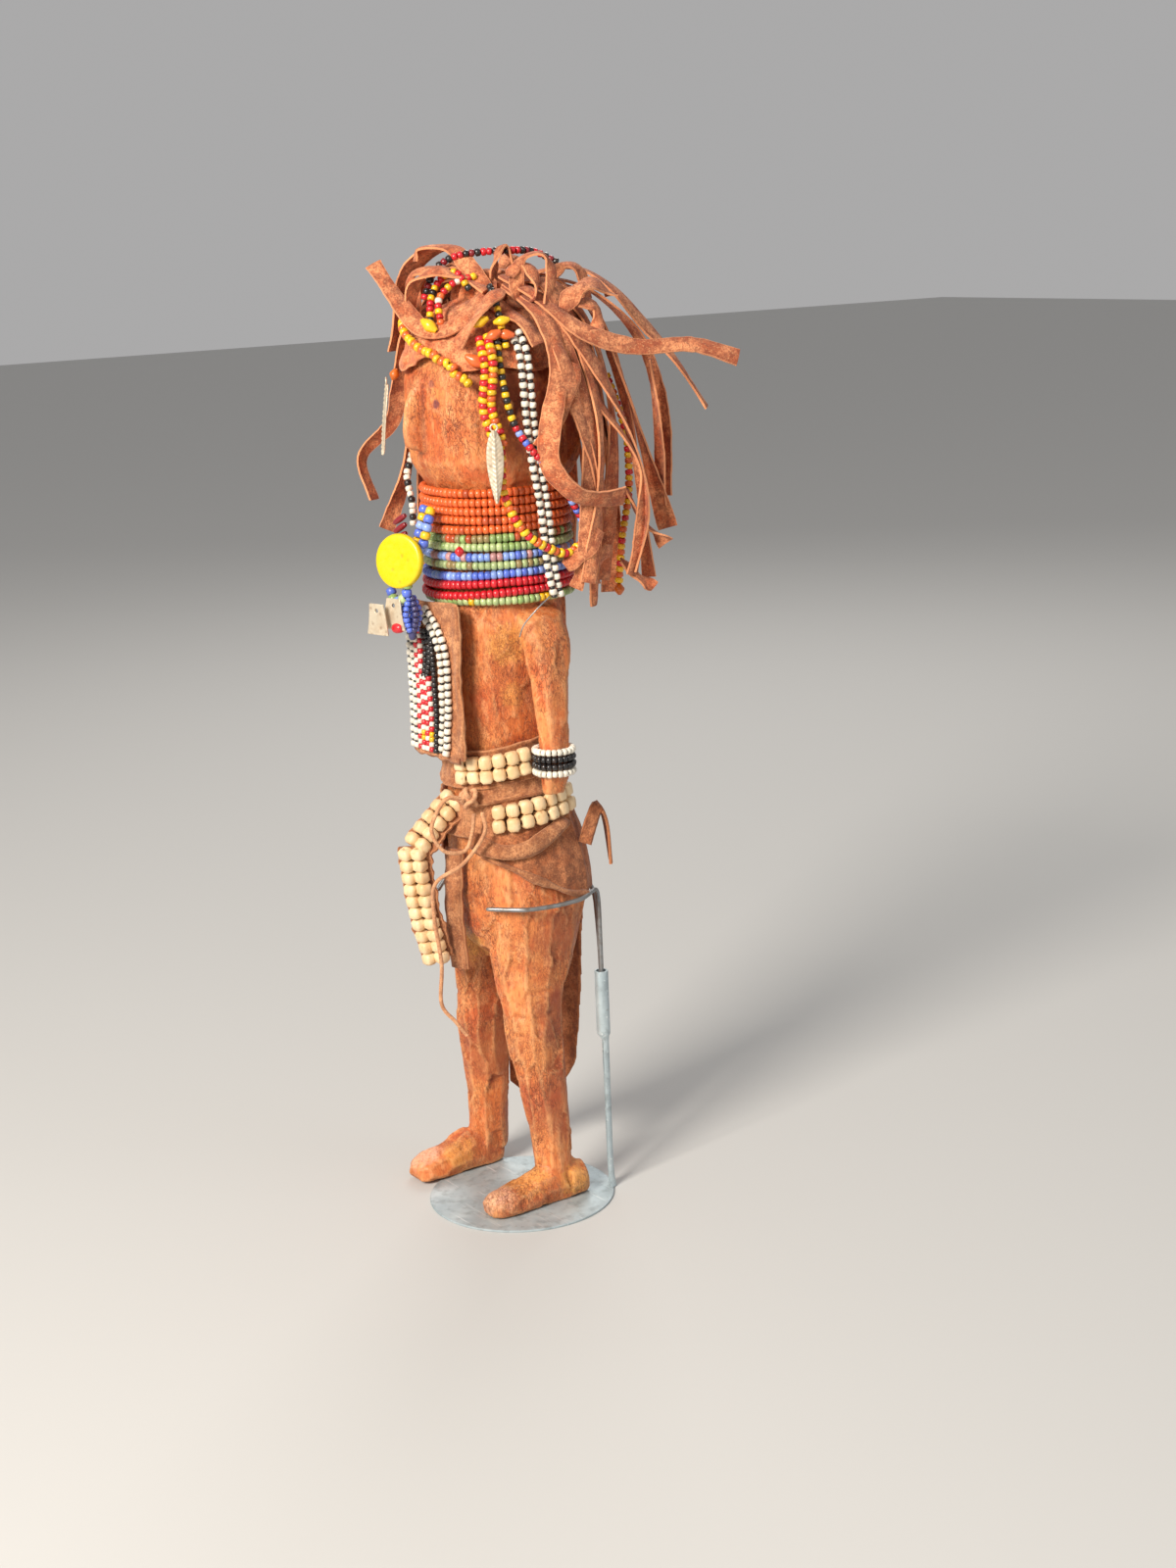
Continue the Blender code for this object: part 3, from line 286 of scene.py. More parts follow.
def new_group(name, inputs, outputs, kind="ShaderNodeTree"):
    """A node group with its sockets, and its input and output nodes."""
    tree = bpy.data.node_groups.new(name, kind)
    for label, socket, value in inputs:
        made = tree.interface.new_socket(name=label, in_out="INPUT",
                                         socket_type="NodeSocket" + socket)
        if value is not None:
            made.default_value = value
    for label, socket in outputs:
        tree.interface.new_socket(name=label, in_out="OUTPUT", socket_type="NodeSocket" + socket)
    return tree, tree.nodes.new("NodeGroupInput"), tree.nodes.new("NodeGroupOutput")


def math_of(tree, operation, first, second=0.0):
    """The result of one Math node."""
    return add_node(tree, "ShaderNodeMath", {0: first, 1: second}, operation=operation).outputs[0]


def vector_of(tree, operation, inputs, output="Vector"):
    """The result of one Vector Math node."""
    return add_node(tree, "ShaderNodeVectorMath", inputs, operation=operation).outputs[output]


def spread(tree, value, low, high):
    """A value spread from 0 at the low end to 1 at the high end."""
    inputs = {"Value": value, "From Min": low, "From Max": high}
    return add_node(tree, "ShaderNodeMapRange", inputs).outputs["Result"]


def blend(tree, share, first, second):
    return add_node(tree, "ShaderNodeMix", {"Factor": share, 2: first, 3: second}).outputs[0]


def cloud(tree, place, scale, output="Fac", **more):
    inputs = {"Vector": place, "Scale": scale, **more}
    return add_node(tree, "ShaderNodeTexNoise", inputs).outputs[output]


def object_place(tree, stretch=None):
    """Object coordinates, stretched along the grain where that is asked for."""
    place = add_node(tree, "ShaderNodeTexCoord").outputs["Object"]
    if stretch is None:
        return place
    return add_node(tree, "ShaderNodeMapping", {"Vector": place, "Scale": stretch}).outputs[0]


def wavering_cells(tree, place, scale, waver, detail, **settings):
    """Cells whose borders are bent by noise."""
    bend = cloud(tree, place, scale, "Color", Detail=detail)
    shift = vector_of(tree, "MULTIPLY", {0: bend, 1: (waver, waver, waver)})
    moved = vector_of(tree, "ADD", {0: place, 1: shift})
    return add_node(tree, "ShaderNodeTexVoronoi", {"Vector": moved, "Scale": scale},
                    **settings).outputs


def shader_group(name, make, output="Mask", **inputs):
    """A shader node group with these inputs, whose one output the given function makes."""
    sockets = [(label.replace("_", " "),
                "Vector" if isinstance(value, tuple) else "Float", value)
               for label, value in inputs.items()]
    tree, given, result = new_group(name, sockets, [(output, "Float")])
    tree.links.new(make(tree, given.outputs), result.inputs[output])
    return tree


def uneven_patches(tree, given):
    """A soft-edged mask of uneven patches, stretched along the grain."""
    place = object_place(tree, given["Stretch"])
    clouds = cloud(tree, place, given["Scale"], Detail=given["Detail"], Roughness=0.6)
    return spread(tree, clouds, given["Low"], given["High"])


def scattered_specks(tree, given):
    """Small scattered spots."""
    place = object_place(tree, given["Stretch"])
    cells = wavering_cells(tree, place, given["Scale"], 0.0012, 2.0)
    dot = spread(tree, cells["Distance"], given["Size"], 0.0)
    chance = add_node(tree, "ShaderNodeSeparateColor", {"Color": cells["Color"]}).outputs["Red"]
    return math_of(tree, "MULTIPLY", dot, math_of(tree, "LESS_THAN", chance, given["Share"]))


def fine_grain(tree, given):
    """Fine relief from two layers of noise, for a Bump node's height."""
    place = object_place(tree, given["Stretch"])
    coarse = cloud(tree, place, given["Scale"], Detail=3.0)
    fine = cloud(tree, place, math_of(tree, "MULTIPLY", given["Scale"], 3.1), Detail=2.0)
    return blend(tree, given["Fine Share"], coarse, fine)


def pointiness_mask(tree, given):
    """How pointed the surface is, broken up by noise: high on edges and ridges, and high in hollows
    where Low is above High.
    """
    pointed = add_node(tree, "ShaderNodeNewGeometry").outputs["Pointiness"]
    edge = spread(tree, pointed, given["Low"], given["High"])
    return math_of(tree, "MULTIPLY", edge, cloud(tree, object_place(tree), given["Scale"]))


def ragged_place(tree, given):
    """A ragged place round a point, for the wood's marks: bare wood, polish, painted highlight and
    painted shade.
    """
    place = object_place(tree)
    away = vector_of(tree, "DISTANCE", {0: place, 1: given["Middle"]}, "Value")
    near = spread(tree, away, given["Reach"], 0.0)
    clouds = cloud(tree, place, given["Scale"], Detail=8.0, Roughness=0.75)
    return spread(tree, math_of(tree, "MULTIPLY", near, clouds), 0.2, 0.32)


def fine_cracks(tree, given):
    """Fine dark cracks that wander along the grain, gathered in patches."""
    place = object_place(tree, given["Stretch"])
    cells = wavering_cells(tree, place, given["Scale"], 0.004, 3.0, feature="DISTANCE_TO_EDGE")
    line = spread(tree, cells["Distance"], given["Width"], 0.0)
    patches = cloud(tree, object_place(tree), given["Patch Scale"], Detail=3.0)
    high = math_of(tree, "ADD", given["Patch Low"], 0.16)
    return math_of(tree, "MULTIPLY", line, spread(tree, patches, given["Patch Low"], high))


EVEN = (1.0, 1.0, 1.0)
PATCHES = shader_group("Uneven patches", uneven_patches, Scale=60.0, Stretch=EVEN, Detail=4.0,
                       Low=0.4, High=0.6)
CRACKS = shader_group("Fine cracks", fine_cracks, Scale=350.0, Stretch=(1.0, 1.0, 0.3),
                      Width=0.07, Patch_Scale=60.0, Patch_Low=0.42)
SPECKS = shader_group("Scattered specks", scattered_specks, Scale=500.0, Size=0.25, Share=0.3,
                      Stretch=EVEN)
GRAIN = shader_group("Fine grain", fine_grain, "Height", Scale=900.0, Stretch=EVEN,
                     Fine_Share=0.5)
POINTINESS = shader_group("Pointiness mask", pointiness_mask, Low=0.52, High=0.6, Scale=300.0)
RAGGED_PLACE = shader_group("Ragged place", ragged_place, Middle=(0.0, 0.0, 0.0), Reach=0.01, Scale=260.0)


# A layer's mask: the shared group and the values that it is placed with

def patchy(scale, low, high, detail=4.0, stretch=EVEN):
    return PATCHES, {"Scale": scale, "Low": low, "High": high, "Detail": detail,
                     "Stretch": stretch}


def specked(scale, size, share, stretch=EVEN):
    return SPECKS, {"Scale": scale, "Size": size, "Share": share, "Stretch": stretch}


def cracked(scale, width, patch_scale, patch_low, stretch):
    return CRACKS, {"Scale": scale, "Width": width, "Patch Scale": patch_scale,
                    "Patch Low": patch_low, "Stretch": stretch}


def by_pointiness(low, high, scale):
    return POINTINESS, {"Low": low, "High": high, "Scale": scale}


def grained(scale, fine_share=0.5, stretch=EVEN):
    return GRAIN, {"Scale": scale, "Fine Share": fine_share, "Stretch": stretch}


class Finish:
    """One material, put together step by step from the shared groups."""

    def __init__(self, name, ground, roughness, metallic=0.0):
        self.material = bpy.data.materials.new(name)
        self.material.use_nodes = True
        self.tree = self.material.node_tree
        self.shader = self.tree.nodes["Principled BSDF"].inputs
        self.shader["Roughness"].default_value = roughness
        self.shader["Metallic"].default_value = metallic
        self.colour = (*ground, 1.0)

    def mask(self, mask):
        """An output as it is, or the one output of a shared group with its values."""
        if isinstance(mask, bpy.types.NodeSocket):
            return mask
        group, values = mask
        return add_node(self.tree, "ShaderNodeGroup", values, node_tree=group).outputs[0]

    def over(self, mask, colour, share):
        """Lays a colour over the ground where the mask is high."""
        factor = math_of(self.tree, "MULTIPLY", self.mask(mask), share)
        mix = add_node(self.tree, "ShaderNodeMix",
                       {0: factor, 6: self.colour, 7: (*colour, 1.0)}, data_type="RGBA")
        self.colour = mix.outputs[2]

    def rough(self, mask, low, high):
        span = add_node(self.tree, "ShaderNodeMapRange",
                        {"Value": self.mask(mask), "To Min": low, "To Max": high})
        self.tree.links.new(span.outputs["Result"], self.shader["Roughness"])

    def relief(self, *layers):
        """Bumps from (mask, depth in mm, strength), one laid on another."""
        beneath = {}
        for height, depth, strength in layers:
            bump = add_node(self.tree, "ShaderNodeBump",
                            {"Height": self.mask(height), "Distance": depth * MM,
                             "Strength": strength, **beneath})
            beneath = {"Normal": bump.outputs["Normal"]}
        self.tree.links.new(beneath["Normal"], self.shader["Normal"])

    def finish(self, **sockets):
        """Links the colour and sets plain values on the shader."""
        if isinstance(self.colour, bpy.types.NodeSocket):
            self.tree.links.new(self.colour, self.shader["Base Color"])
        else:
            self.shader["Base Color"].default_value = self.colour
        for key, value in sockets.items():
            self.shader[key.replace("_", " ")].default_value = value
        return self.material


def ochre_wood():
    """Carved wood coloured by rubbing red ochre into it: fibres, fine cracks, bare yellow places,
    ridges lighter from wear and from a painted highlight, painted shade in the hollows and on the
    sides turned from the light.
    """
    along = (1.0, 1.0, 0.42)
    made = Finish("Ochre wood", (0.68, 0.185, 0.048), 0.58)
    made.over(patchy(32.0, 0.42, 0.6), (0.83, 0.34, 0.108), 0.72)
    made.over(patchy(58.0, 0.5, 0.62, 8.0), (0.58, 0.10, 0.025), 0.75)
    made.over(patchy(300.0, 0.5, 0.62, 6.0, along), (0.90, 0.46, 0.20), 0.36)
    for middle, reach, colour, share in WOOD_MARKS:
        made.over((RAGGED_PLACE, {"Middle": mm(*middle), "Reach": reach * MM}), colour, share)
    made.over(patchy(1000.0, 0.5, 0.64, 4.0, along), (0.38, 0.07, 0.022), 0.5)
    made.over(patchy(800.0, 0.54, 0.68, 5.0, (1.0, 1.0, 0.18)), (0.24, 0.05, 0.02), 0.25)
    cracks = made.mask(cracked(560.0, 0.075, 48.0, 0.44, along))
    made.over(cracks, (0.15, 0.03, 0.012), 0.85)
    fine = made.mask(cracked(950.0, 0.12, 80.0, 0.38, along))
    made.over(fine, (0.22, 0.045, 0.016), 0.7)
    specks = made.mask(specked(520.0, 0.3, 0.26, (1.0, 1.0, 0.55)))
    made.over(specks, (0.11, 0.03, 0.016), 0.6)
    # Lighter on the ridges: partly ochre worn away, partly a painted highlight where the facets catch
    # the light
    made.over(by_pointiness(0.502, 0.535, 250.0), (0.93, 0.50, 0.22), 0.6)
    # Darker in the hollows: painted shade
    made.over(by_pointiness(0.494, 0.46, 250.0), (0.20, 0.042, 0.018), 0.7)
    made.rough(patchy(260.0, 0.35, 0.7), 0.38, 0.7)
    made.relief((grained(560.0, 0.4, along), 0.4, 0.7), (cracks, -0.35, 0.6), (fine, -0.2, 0.5),
                (specks, -0.3, 0.4))
    return made.finish(Specular_IOR_Level=0.45)


def mesh_value(tree, name, output):
    """A value that is stored on the mesh."""
    return add_node(tree, "ShaderNodeAttribute", attribute_name=name).outputs[output]


def suede(name, ground, light, dark, fleck, grain_depth=0.35):
    """Dry leather with a short nap, dusted with ochre, and darker in its hollows as painted shade.
    Strips have paler cut edges.
    """
    made = Finish(name, ground, 0.9)
    made.over(mesh_value(made.tree, "tone", "Fac"), dark, 0.65)
    cross = mesh_value(made.tree, "cross", "Vector")
    side = add_node(made.tree, "ShaderNodeSeparateXYZ", {"Vector": cross}).outputs["X"]
    edge = spread(made.tree, math_of(made.tree, "ABSOLUTE", side), 0.462, 0.498)
    for mask, colour, share in (
        (patchy(110.0, 0.42, 0.6, 6.0), light, 0.8), (patchy(300.0, 0.46, 0.6, 6.0), dark, 0.6),
        (patchy(1300.0, 0.48, 0.62, 3.0), dark, 0.6), (specked(1500.0, 0.45, 0.4), fleck, 0.75),
        (specked(1100.0, 0.42, 0.3), dark, 0.8), (by_pointiness(0.51, 0.58, 500.0), light, 0.75),
        # Darker in the hollows: painted shade
        (by_pointiness(0.49, 0.44, 500.0), dark, 0.8), (edge, light, 0.6),
    ):
        made.over(mask, colour, share)
    made.relief((grained(240.0, 0.2), 0.8, 0.6), (grained(1300.0, 0.4), grain_depth, 0.9))
    return made.finish(Specular_IOR_Level=0.2, Sheen_Weight=0.12, Sheen_Roughness=0.6)


def bead_glass():
    """Opaque seed beads. Each bead's colour is on the mesh, with grime and small flaws over it."""
    made = Finish("Bead glass", WHITE, 0.3)
    made.colour = mesh_value(made.tree, "bead_colour", "Color")
    made.over(patchy(900.0, 0.55, 0.75, 3.0), (0.20, 0.09, 0.045), 0.38)
    made.over(specked(900.0, 0.25, 0.12), (0.10, 0.05, 0.03), 0.4)
    made.rough(patchy(500.0, 0.4, 0.7), 0.24, 0.5)
    made.relief((grained(700.0), 0.12, 0.3))
    return made.finish(Specular_IOR_Level=0.55, Coat_Weight=0.25, Coat_Roughness=0.2)


def yellow_plastic():
    """The disc: strong yellow, with small dents and scuffs."""
    made = Finish("Yellow button", (0.70, 0.53, 0.002), 0.35)
    made.over(patchy(140.0, 0.4, 0.65), (0.74, 0.52, 0.002), 0.7)
    dents = made.mask(specked(300.0, 0.3, 0.16))
    made.over(dents, (0.42, 0.24, 0.01), 0.6)
    made.rough(patchy(420.0, 0.4, 0.7), 0.26, 0.5)
    made.relief((grained(420.0), 0.12, 0.35), (dents, -0.2, 0.5))
    return made.finish(Coat_Weight=0.1, Coat_Roughness=0.3)


def layered(name, ground, roughness, metallic, layers, gloss, grain, **sockets):
    """A finish from its ground, the colours over it, how its gloss varies and its fine grain."""
    made = Finish(name, ground, roughness, metallic)
    for layer in layers:
        made.over(*layer)
    if gloss:
        made.rough(*gloss)
    if grain:
        made.relief(grain)
    return made.finish(**sockets)


# Marks on the wood, among them painted shade and a painted highlight: centre and reach in mm, colour,
# strength
BARE_YELLOW = (0.84, 0.40, 0.085)
# Pale pink on the toes: partly polish from wear, partly a painted highlight
POLISH_AND_HIGHLIGHT_PINK = (0.90, 0.50, 0.34)
# Deep red-brown, painted shade on the sides turned from the light: the head's side under the hair, the
# near leg, between the legs and belts, under the arm; on the head partly the wood's own red
DEEP_RED_AND_SHADE = (0.30, 0.052, 0.022)
PURPLE = (0.13, 0.04, 0.07)
WOOD_MARKS = (
    ((-18, -8, 107), 20, BARE_YELLOW, 0.85), ((-30, -10, 12), 16, BARE_YELLOW, 0.55),
    ((10, -1, 232), 16, BARE_YELLOW, 0.55), ((12, 0, 212), 12, BARE_YELLOW, 0.45),
    # The pink on the toes is partly a painted highlight
    ((24, 15, 9), 18, BARE_YELLOW, 0.7), ((12, -20, 9), 15, POLISH_AND_HIGHLIGHT_PINK, 0.75),
    ((-42, -21, 9), 15, POLISH_AND_HIGHLIGHT_PINK, 0.75), ((12, -6, 12), 18, BARE_YELLOW, 0.5),
    # Painted shade, partly the wood's own deeper red on the head
    ((14, 4, 338), 34, DEEP_RED_AND_SHADE, 0.85), ((16, 14, 316), 30, DEEP_RED_AND_SHADE, 0.85),
    ((10, 30, 326), 34, DEEP_RED_AND_SHADE, 0.8), ((14, 14, 78), 26, DEEP_RED_AND_SHADE, 0.7),
    ((14, 16, 112), 26, DEEP_RED_AND_SHADE, 0.6), ((16, 12, 44), 34, DEEP_RED_AND_SHADE, 0.55),
    ((-22, 6, 56), 34, DEEP_RED_AND_SHADE, 0.5), ((0, 12, 232), 24, DEEP_RED_AND_SHADE, 0.5),
    ((22, 16, 170), 16, DEEP_RED_AND_SHADE, 0.5), ((-2, -10, 172), 20, DEEP_RED_AND_SHADE, 0.5),
    ((-2.8, -20.4, 324.8), 3.8, PURPLE, 0.85), ((-24.2, -20.1, 323.1), 3.8, PURPLE, 0.85),
    ((-4.5, -20.6, 332.5), 3.2, PURPLE, 0.5),
)

WOOD = ochre_wood()
HAIR_LEATHER = suede("Hair suede", (0.68, 0.175, 0.062), (0.95, 0.40, 0.18),
                     (0.22, 0.055, 0.028), (0.95, 0.52, 0.24))
BELT_LEATHER = suede("Belt leather", (0.43, 0.16, 0.062), (0.68, 0.32, 0.145),
                     (0.20, 0.065, 0.03), (0.80, 0.42, 0.22), 0.25)
SKIRT_LEATHER = suede("Skirt leather", (0.38, 0.115, 0.040), (0.60, 0.23, 0.095),
                      (0.15, 0.045, 0.02), (0.68, 0.30, 0.13), 0.28)
LACE_LEATHER = suede("Lace leather", (0.56, 0.25, 0.115), (0.80, 0.44, 0.23),
                     (0.26, 0.09, 0.045), (0.85, 0.5, 0.28), 0.2)
GLASS = bead_glass()
PLASTIC = yellow_plastic()
# Large worn beads, cream with a faint grain and brown stain
BONE = layered(
    "Cream beads", (0.86, 0.64, 0.38), 0.42, 0.0,
    [(patchy(130.0, 0.44, 0.62), (0.72, 0.44, 0.20), 0.7),
     (patchy(900.0, 0.5, 0.7, stretch=(1.0, 1.0, 0.2)), (0.52, 0.30, 0.14), 0.35),
     (specked(520.0, 0.3, 0.16), (0.22, 0.10, 0.045), 0.6)],
    (patchy(400.0, 0.4, 0.7), 0.34, 0.58), (grained(500.0), 0.15, 0.35), Specular_IOR_Level=0.45)
# Zinc sheet: grey-blue, with soft crystals, stains and fine scratches
ZINC = layered(
    "Zinc sheet", (0.42, 0.50, 0.53), 0.5, 0.45,
    [(patchy(60.0, 0.38, 0.62), (0.57, 0.65, 0.67), 0.8),
     (patchy(260.0, 0.5, 0.66, 6.0), (0.24, 0.28, 0.29), 0.5),
     (patchy(500.0, 0.63, 0.68, stretch=(0.06, 1.6, 1.0)), (0.82, 0.85, 0.85), 0.6),
     (specked(300.0, 0.2, 0.1), (0.16, 0.11, 0.07), 0.5)],
    (patchy(150.0, 0.35, 0.7), 0.46, 0.68), (grained(300.0), 0.1, 0.2))
# Bare wire, grey-brown, a little stained
STEEL = layered(
    "Drawn steel", (0.27, 0.28, 0.285), 0.5, 0.6,
    [(patchy(300.0, 0.45, 0.65), (0.17, 0.125, 0.09), 0.6),
     (by_pointiness(0.5, 0.6, 500.0), (0.5, 0.5, 0.48), 0.5)],
    (patchy(500.0, 0.4, 0.7), 0.3, 0.55), (grained(900.0), 0.08, 0.3))
# Thin pale metal of the leaves and plates, tarnished in its hollows
PALE_METAL = layered(
    "Worn pale metal", (0.66, 0.57, 0.43), 0.4, 0.35,
    [(patchy(260.0, 0.46, 0.64), (0.52, 0.38, 0.25), 0.6),
     (specked(460.0, 0.42, 0.4), (0.26, 0.15, 0.09), 0.75),
     (by_pointiness(0.51, 0.6, 400.0), (0.80, 0.74, 0.60), 0.5)],
    (patchy(350.0, 0.4, 0.7), 0.3, 0.6), (grained(600.0), 0.1, 0.4))
THREAD = layered("Waxed thread", (0.10, 0.045, 0.025), 0.8, 0.0,
                 [(patchy(900.0, 0.4, 0.7), (0.20, 0.10, 0.06), 0.6)], None,
                 (grained(2500.0), 0.1, 0.5), Specular_IOR_Level=0.3)


# Geometry node trees for what repeats along a line

def modified(name, guide, tree, values):
    """The plain mesh that a geometry node tree makes from a guide mesh."""
    holder = added(name + "_guide", guide)
    change = holder.modifiers.new("made", "NODES")
    change.node_group = tree
    for item in tree.interface.items_tree:
        if item.in_out == "INPUT" and item.name in values:
            change[item.identifier] = values[item.name]
    mesh = applied(holder)
    mesh.name = name
    return mesh


def dressed(tree, geometry, finish):
    """Real geometry with its material, which every tree ends in."""
    real = add_node(tree, "GeometryNodeRealizeInstances", {"Geometry": geometry}).outputs[0]
    return add_node(tree, "GeometryNodeSetMaterial",
                    {"Geometry": real, "Material": finish}).outputs[0]


def combined(tree, x, y, z):
    return add_node(tree, "ShaderNodeCombineXYZ", {"X": x, "Y": y, "Z": z}).outputs["Vector"]


def build_bead_tree():
    """Beads threaded along lines: spacing, size, tilt and thread are inputs."""
    tree, start, result = new_group(
        "Threaded beads",
        [("Geometry", "Geometry", None), ("Bead Shape", "Object", None),
         ("Bead Diameter", "Float", 0.003), ("Bead Length", "Float", 0.002),
         ("Spacing", "Float", 0.002), ("Odd Width", "Float", 1.0), ("Odd Length", "Float", 1.0),
         ("Spin", "Float", 3.1), ("Size Variation", "Float", 0.08), ("Tilt", "Float", 0.12),
         ("Thread Radius", "Float", 0.0004), ("Seed", "Int", SEED),
         ("Bead Finish", "Material", None), ("Thread Finish", "Material", None)],
        [("Geometry", "Geometry")], "GeometryNodeTree")
    given = start.outputs
    line = add_node(tree, "GeometryNodeMeshToCurve", {"Mesh": given["Geometry"]}).outputs["Curve"]
    places = add_node(tree, "GeometryNodeCurveToPoints",
                      {"Curve": line, "Length": given["Spacing"]}, mode="LENGTH").outputs
    number = add_node(tree, "GeometryNodeInputIndex").outputs["Index"]
    odd = math_of(tree, "MODULO", number, 2.0)
    shape = add_node(tree, "GeometryNodeObjectInfo", {"Object": given["Bead Shape"]})
    size = add_node(tree, "FunctionNodeRandomValue",
                    {2: math_of(tree, "SUBTRACT", 1.0, given["Size Variation"]),
                     3: math_of(tree, "ADD", 1.0, given["Size Variation"]),
                     "Seed": given["Seed"]}, data_type="FLOAT").outputs[1]
    wide = math_of(tree, "MULTIPLY", math_of(tree, "MULTIPLY", size, given["Bead Diameter"]),
                   blend(tree, odd, 1.0, given["Odd Width"]))
    long = math_of(tree, "MULTIPLY", given["Bead Length"],
                   blend(tree, odd, 1.0, given["Odd Length"]))
    most = combined(tree, given["Tilt"], given["Tilt"], given["Spin"])
    least = vector_of(tree, "SCALE", {0: most, "Scale": -1.0})
    lean = add_node(tree, "FunctionNodeRandomValue", {0: least, 1: most, "Seed": given["Seed"]},
                    data_type="FLOAT_VECTOR").outputs[0]
    by = add_node(tree, "FunctionNodeEulerToRotation", {"Euler": lean}).outputs["Rotation"]
    turned = add_node(tree, "FunctionNodeRotateRotation",
                      {"Rotation": places["Rotation"], "Rotate By": by}, rotation_space="LOCAL")
    beads = add_node(tree, "GeometryNodeInstanceOnPoints",
                     {"Points": places["Points"], "Instance": shape.outputs["Geometry"],
                      "Rotation": turned.outputs["Rotation"],
                      "Scale": combined(tree, wide, wide, long)}).outputs["Instances"]
    numbered = add_node(tree, "GeometryNodeStoreNamedAttribute",
                        {"Geometry": beads, "Name": "bead_number", "Value": number},
                        data_type="FLOAT", domain="INSTANCE").outputs["Geometry"]
    glazed = dressed(tree, numbered, given["Bead Finish"])
    ring = add_node(tree, "GeometryNodeCurvePrimitiveCircle",
                    {"Resolution": 5, "Radius": given["Thread Radius"]}).outputs["Curve"]
    thread = add_node(tree, "GeometryNodeCurveToMesh",
                      {"Curve": line, "Profile Curve": ring, "Fill Caps": True}).outputs["Mesh"]
    both = add_node(tree, "GeometryNodeJoinGeometry",
                    {"Geometry": dressed(tree, thread, given["Thread Finish"])})
    tree.links.new(glazed, both.inputs["Geometry"])
    tree.links.new(both.outputs["Geometry"], result.inputs["Geometry"])
    return tree


def build_strip_tree():
    """Flat strips along lines. Each guide point says which way its strip faces and how wide it is."""
    tree, start, result = new_group(
        "Cut strips",
        [("Geometry", "Geometry", None), ("Thickness", "Float", 0.0012),
         ("Cupping", "Float", 0.0008), ("Edge Wander", "Float", 0.0006),
         ("Wander Scale", "Float", 180.0), ("Points Across", "Int", 14),
         ("Leather", "Material", None)],
        [("Geometry", "Geometry")], "GeometryNodeTree")
    given = start.outputs
    here = add_node(tree, "GeometryNodeInputPosition").outputs["Position"]

    def kept(curve, name):
        """A curve whose points remember where they are."""
        return add_node(tree, "GeometryNodeStoreNamedAttribute",
                        {"Geometry": curve, "Name": name, "Value": here},
                        data_type="FLOAT_VECTOR", domain="POINT").outputs["Geometry"]

    def stored(name):
        return add_node(tree, "GeometryNodeInputNamedAttribute", {"Name": name},
                        data_type="FLOAT_VECTOR").outputs["Attribute"]

    def times(first, second):
        return math_of(tree, "MULTIPLY", first, second)

    line = add_node(tree, "GeometryNodeMeshToCurve", {"Mesh": given["Geometry"]}).outputs["Curve"]
    steps = math_of(tree, "SUBTRACT", times(given["Points Across"], 0.5), 1.0)
    outline = add_node(tree, "GeometryNodeCurvePrimitiveQuadrilateral",
                       {"Width": 1.0, "Height": math_of(tree, "DIVIDE", 1.0, steps)})
    closer = add_node(tree, "GeometryNodeResampleCurve",
                      {"Curve": outline.outputs["Curve"], "Count": given["Points Across"]})
    swept = add_node(tree, "GeometryNodeCurveToMesh",
                     {"Curve": kept(line, "centre"), "Fill Caps": True,
                      "Profile Curve": kept(closer.outputs["Curve"], "cross")}).outputs["Mesh"]
    cross = add_node(tree, "ShaderNodeSeparateXYZ", {"Vector": stored("cross")}).outputs
    across = vector_of(tree, "SCALE", {0: stored("side"), "Scale": cross["X"]})
    wander = cloud(tree, stored("centre"), given["Wander Scale"], Detail=2.0)
    ragged = times(math_of(tree, "SUBTRACT", wander, 0.5), given["Edge Wander"])
    amount = math_of(tree, "ABSOLUTE", times(times(ragged, 6.0), cross["X"]))
    outward = vector_of(tree, "NORMALIZE", {0: across})
    edge_move = vector_of(tree, "SCALE", {0: outward, "Scale": amount})
    cupped = times(times(times(cross["X"], cross["X"]), given["Cupping"]), -4.0)
    thick = times(times(cross["Y"], steps), given["Thickness"])
    lift = math_of(tree, "ADD", thick, cupped)
    place = stored("centre")
    for move in (across, vector_of(tree, "SCALE", {0: stored("face"), "Scale": lift}), edge_move):
        place = vector_of(tree, "ADD", {0: place, 1: move})
    placed = add_node(tree, "GeometryNodeSetPosition", {"Geometry": swept, "Position": place})
    smooth = add_node(tree, "GeometryNodeSetShadeSmooth", {"Geometry": placed.outputs["Geometry"]})
    tree.links.new(dressed(tree, smooth.outputs["Geometry"], given["Leather"]),
                   result.inputs["Geometry"])
    return tree


BEAD_TREE = build_bead_tree()
STRIP_TREE = build_strip_tree()


def bead_shape(name, hole, rounding, sides, square=1.0):
    """A bead one unit wide and long: hole radius, rounding of its ends, and how square it is."""
    half = 0.5
    profile = [(hole, -half * 0.8), (hole + 0.06, -half), (half - rounding, -half),
               (half, -half + rounding * 1.1), (half, half - rounding * 1.1),
               (half - rounding, half), (hole + 0.06, half), (hole, half * 0.8)]
    rows = []
    for i in range(sides):
        turn = 2 * math.pi * (i + 0.5) / sides
        out = [math.copysign(abs(way) ** square, way) for way in (math.cos(turn), math.sin(turn))]
        rows.append([Vector((r * out[0], r * out[1], z)) for r, z in profile])
    return bpy.data.objects.new(name, loft(name, rows, ring=True))


SEED_BEAD = bead_shape("seed_bead", 0.16, 0.17, 9)
BARREL_BEAD = bead_shape("barrel_bead", 0.13, 0.2, 12)
SQUARE_BEAD = bead_shape("square_bead", 0.13, 0.19, 16, 0.5)


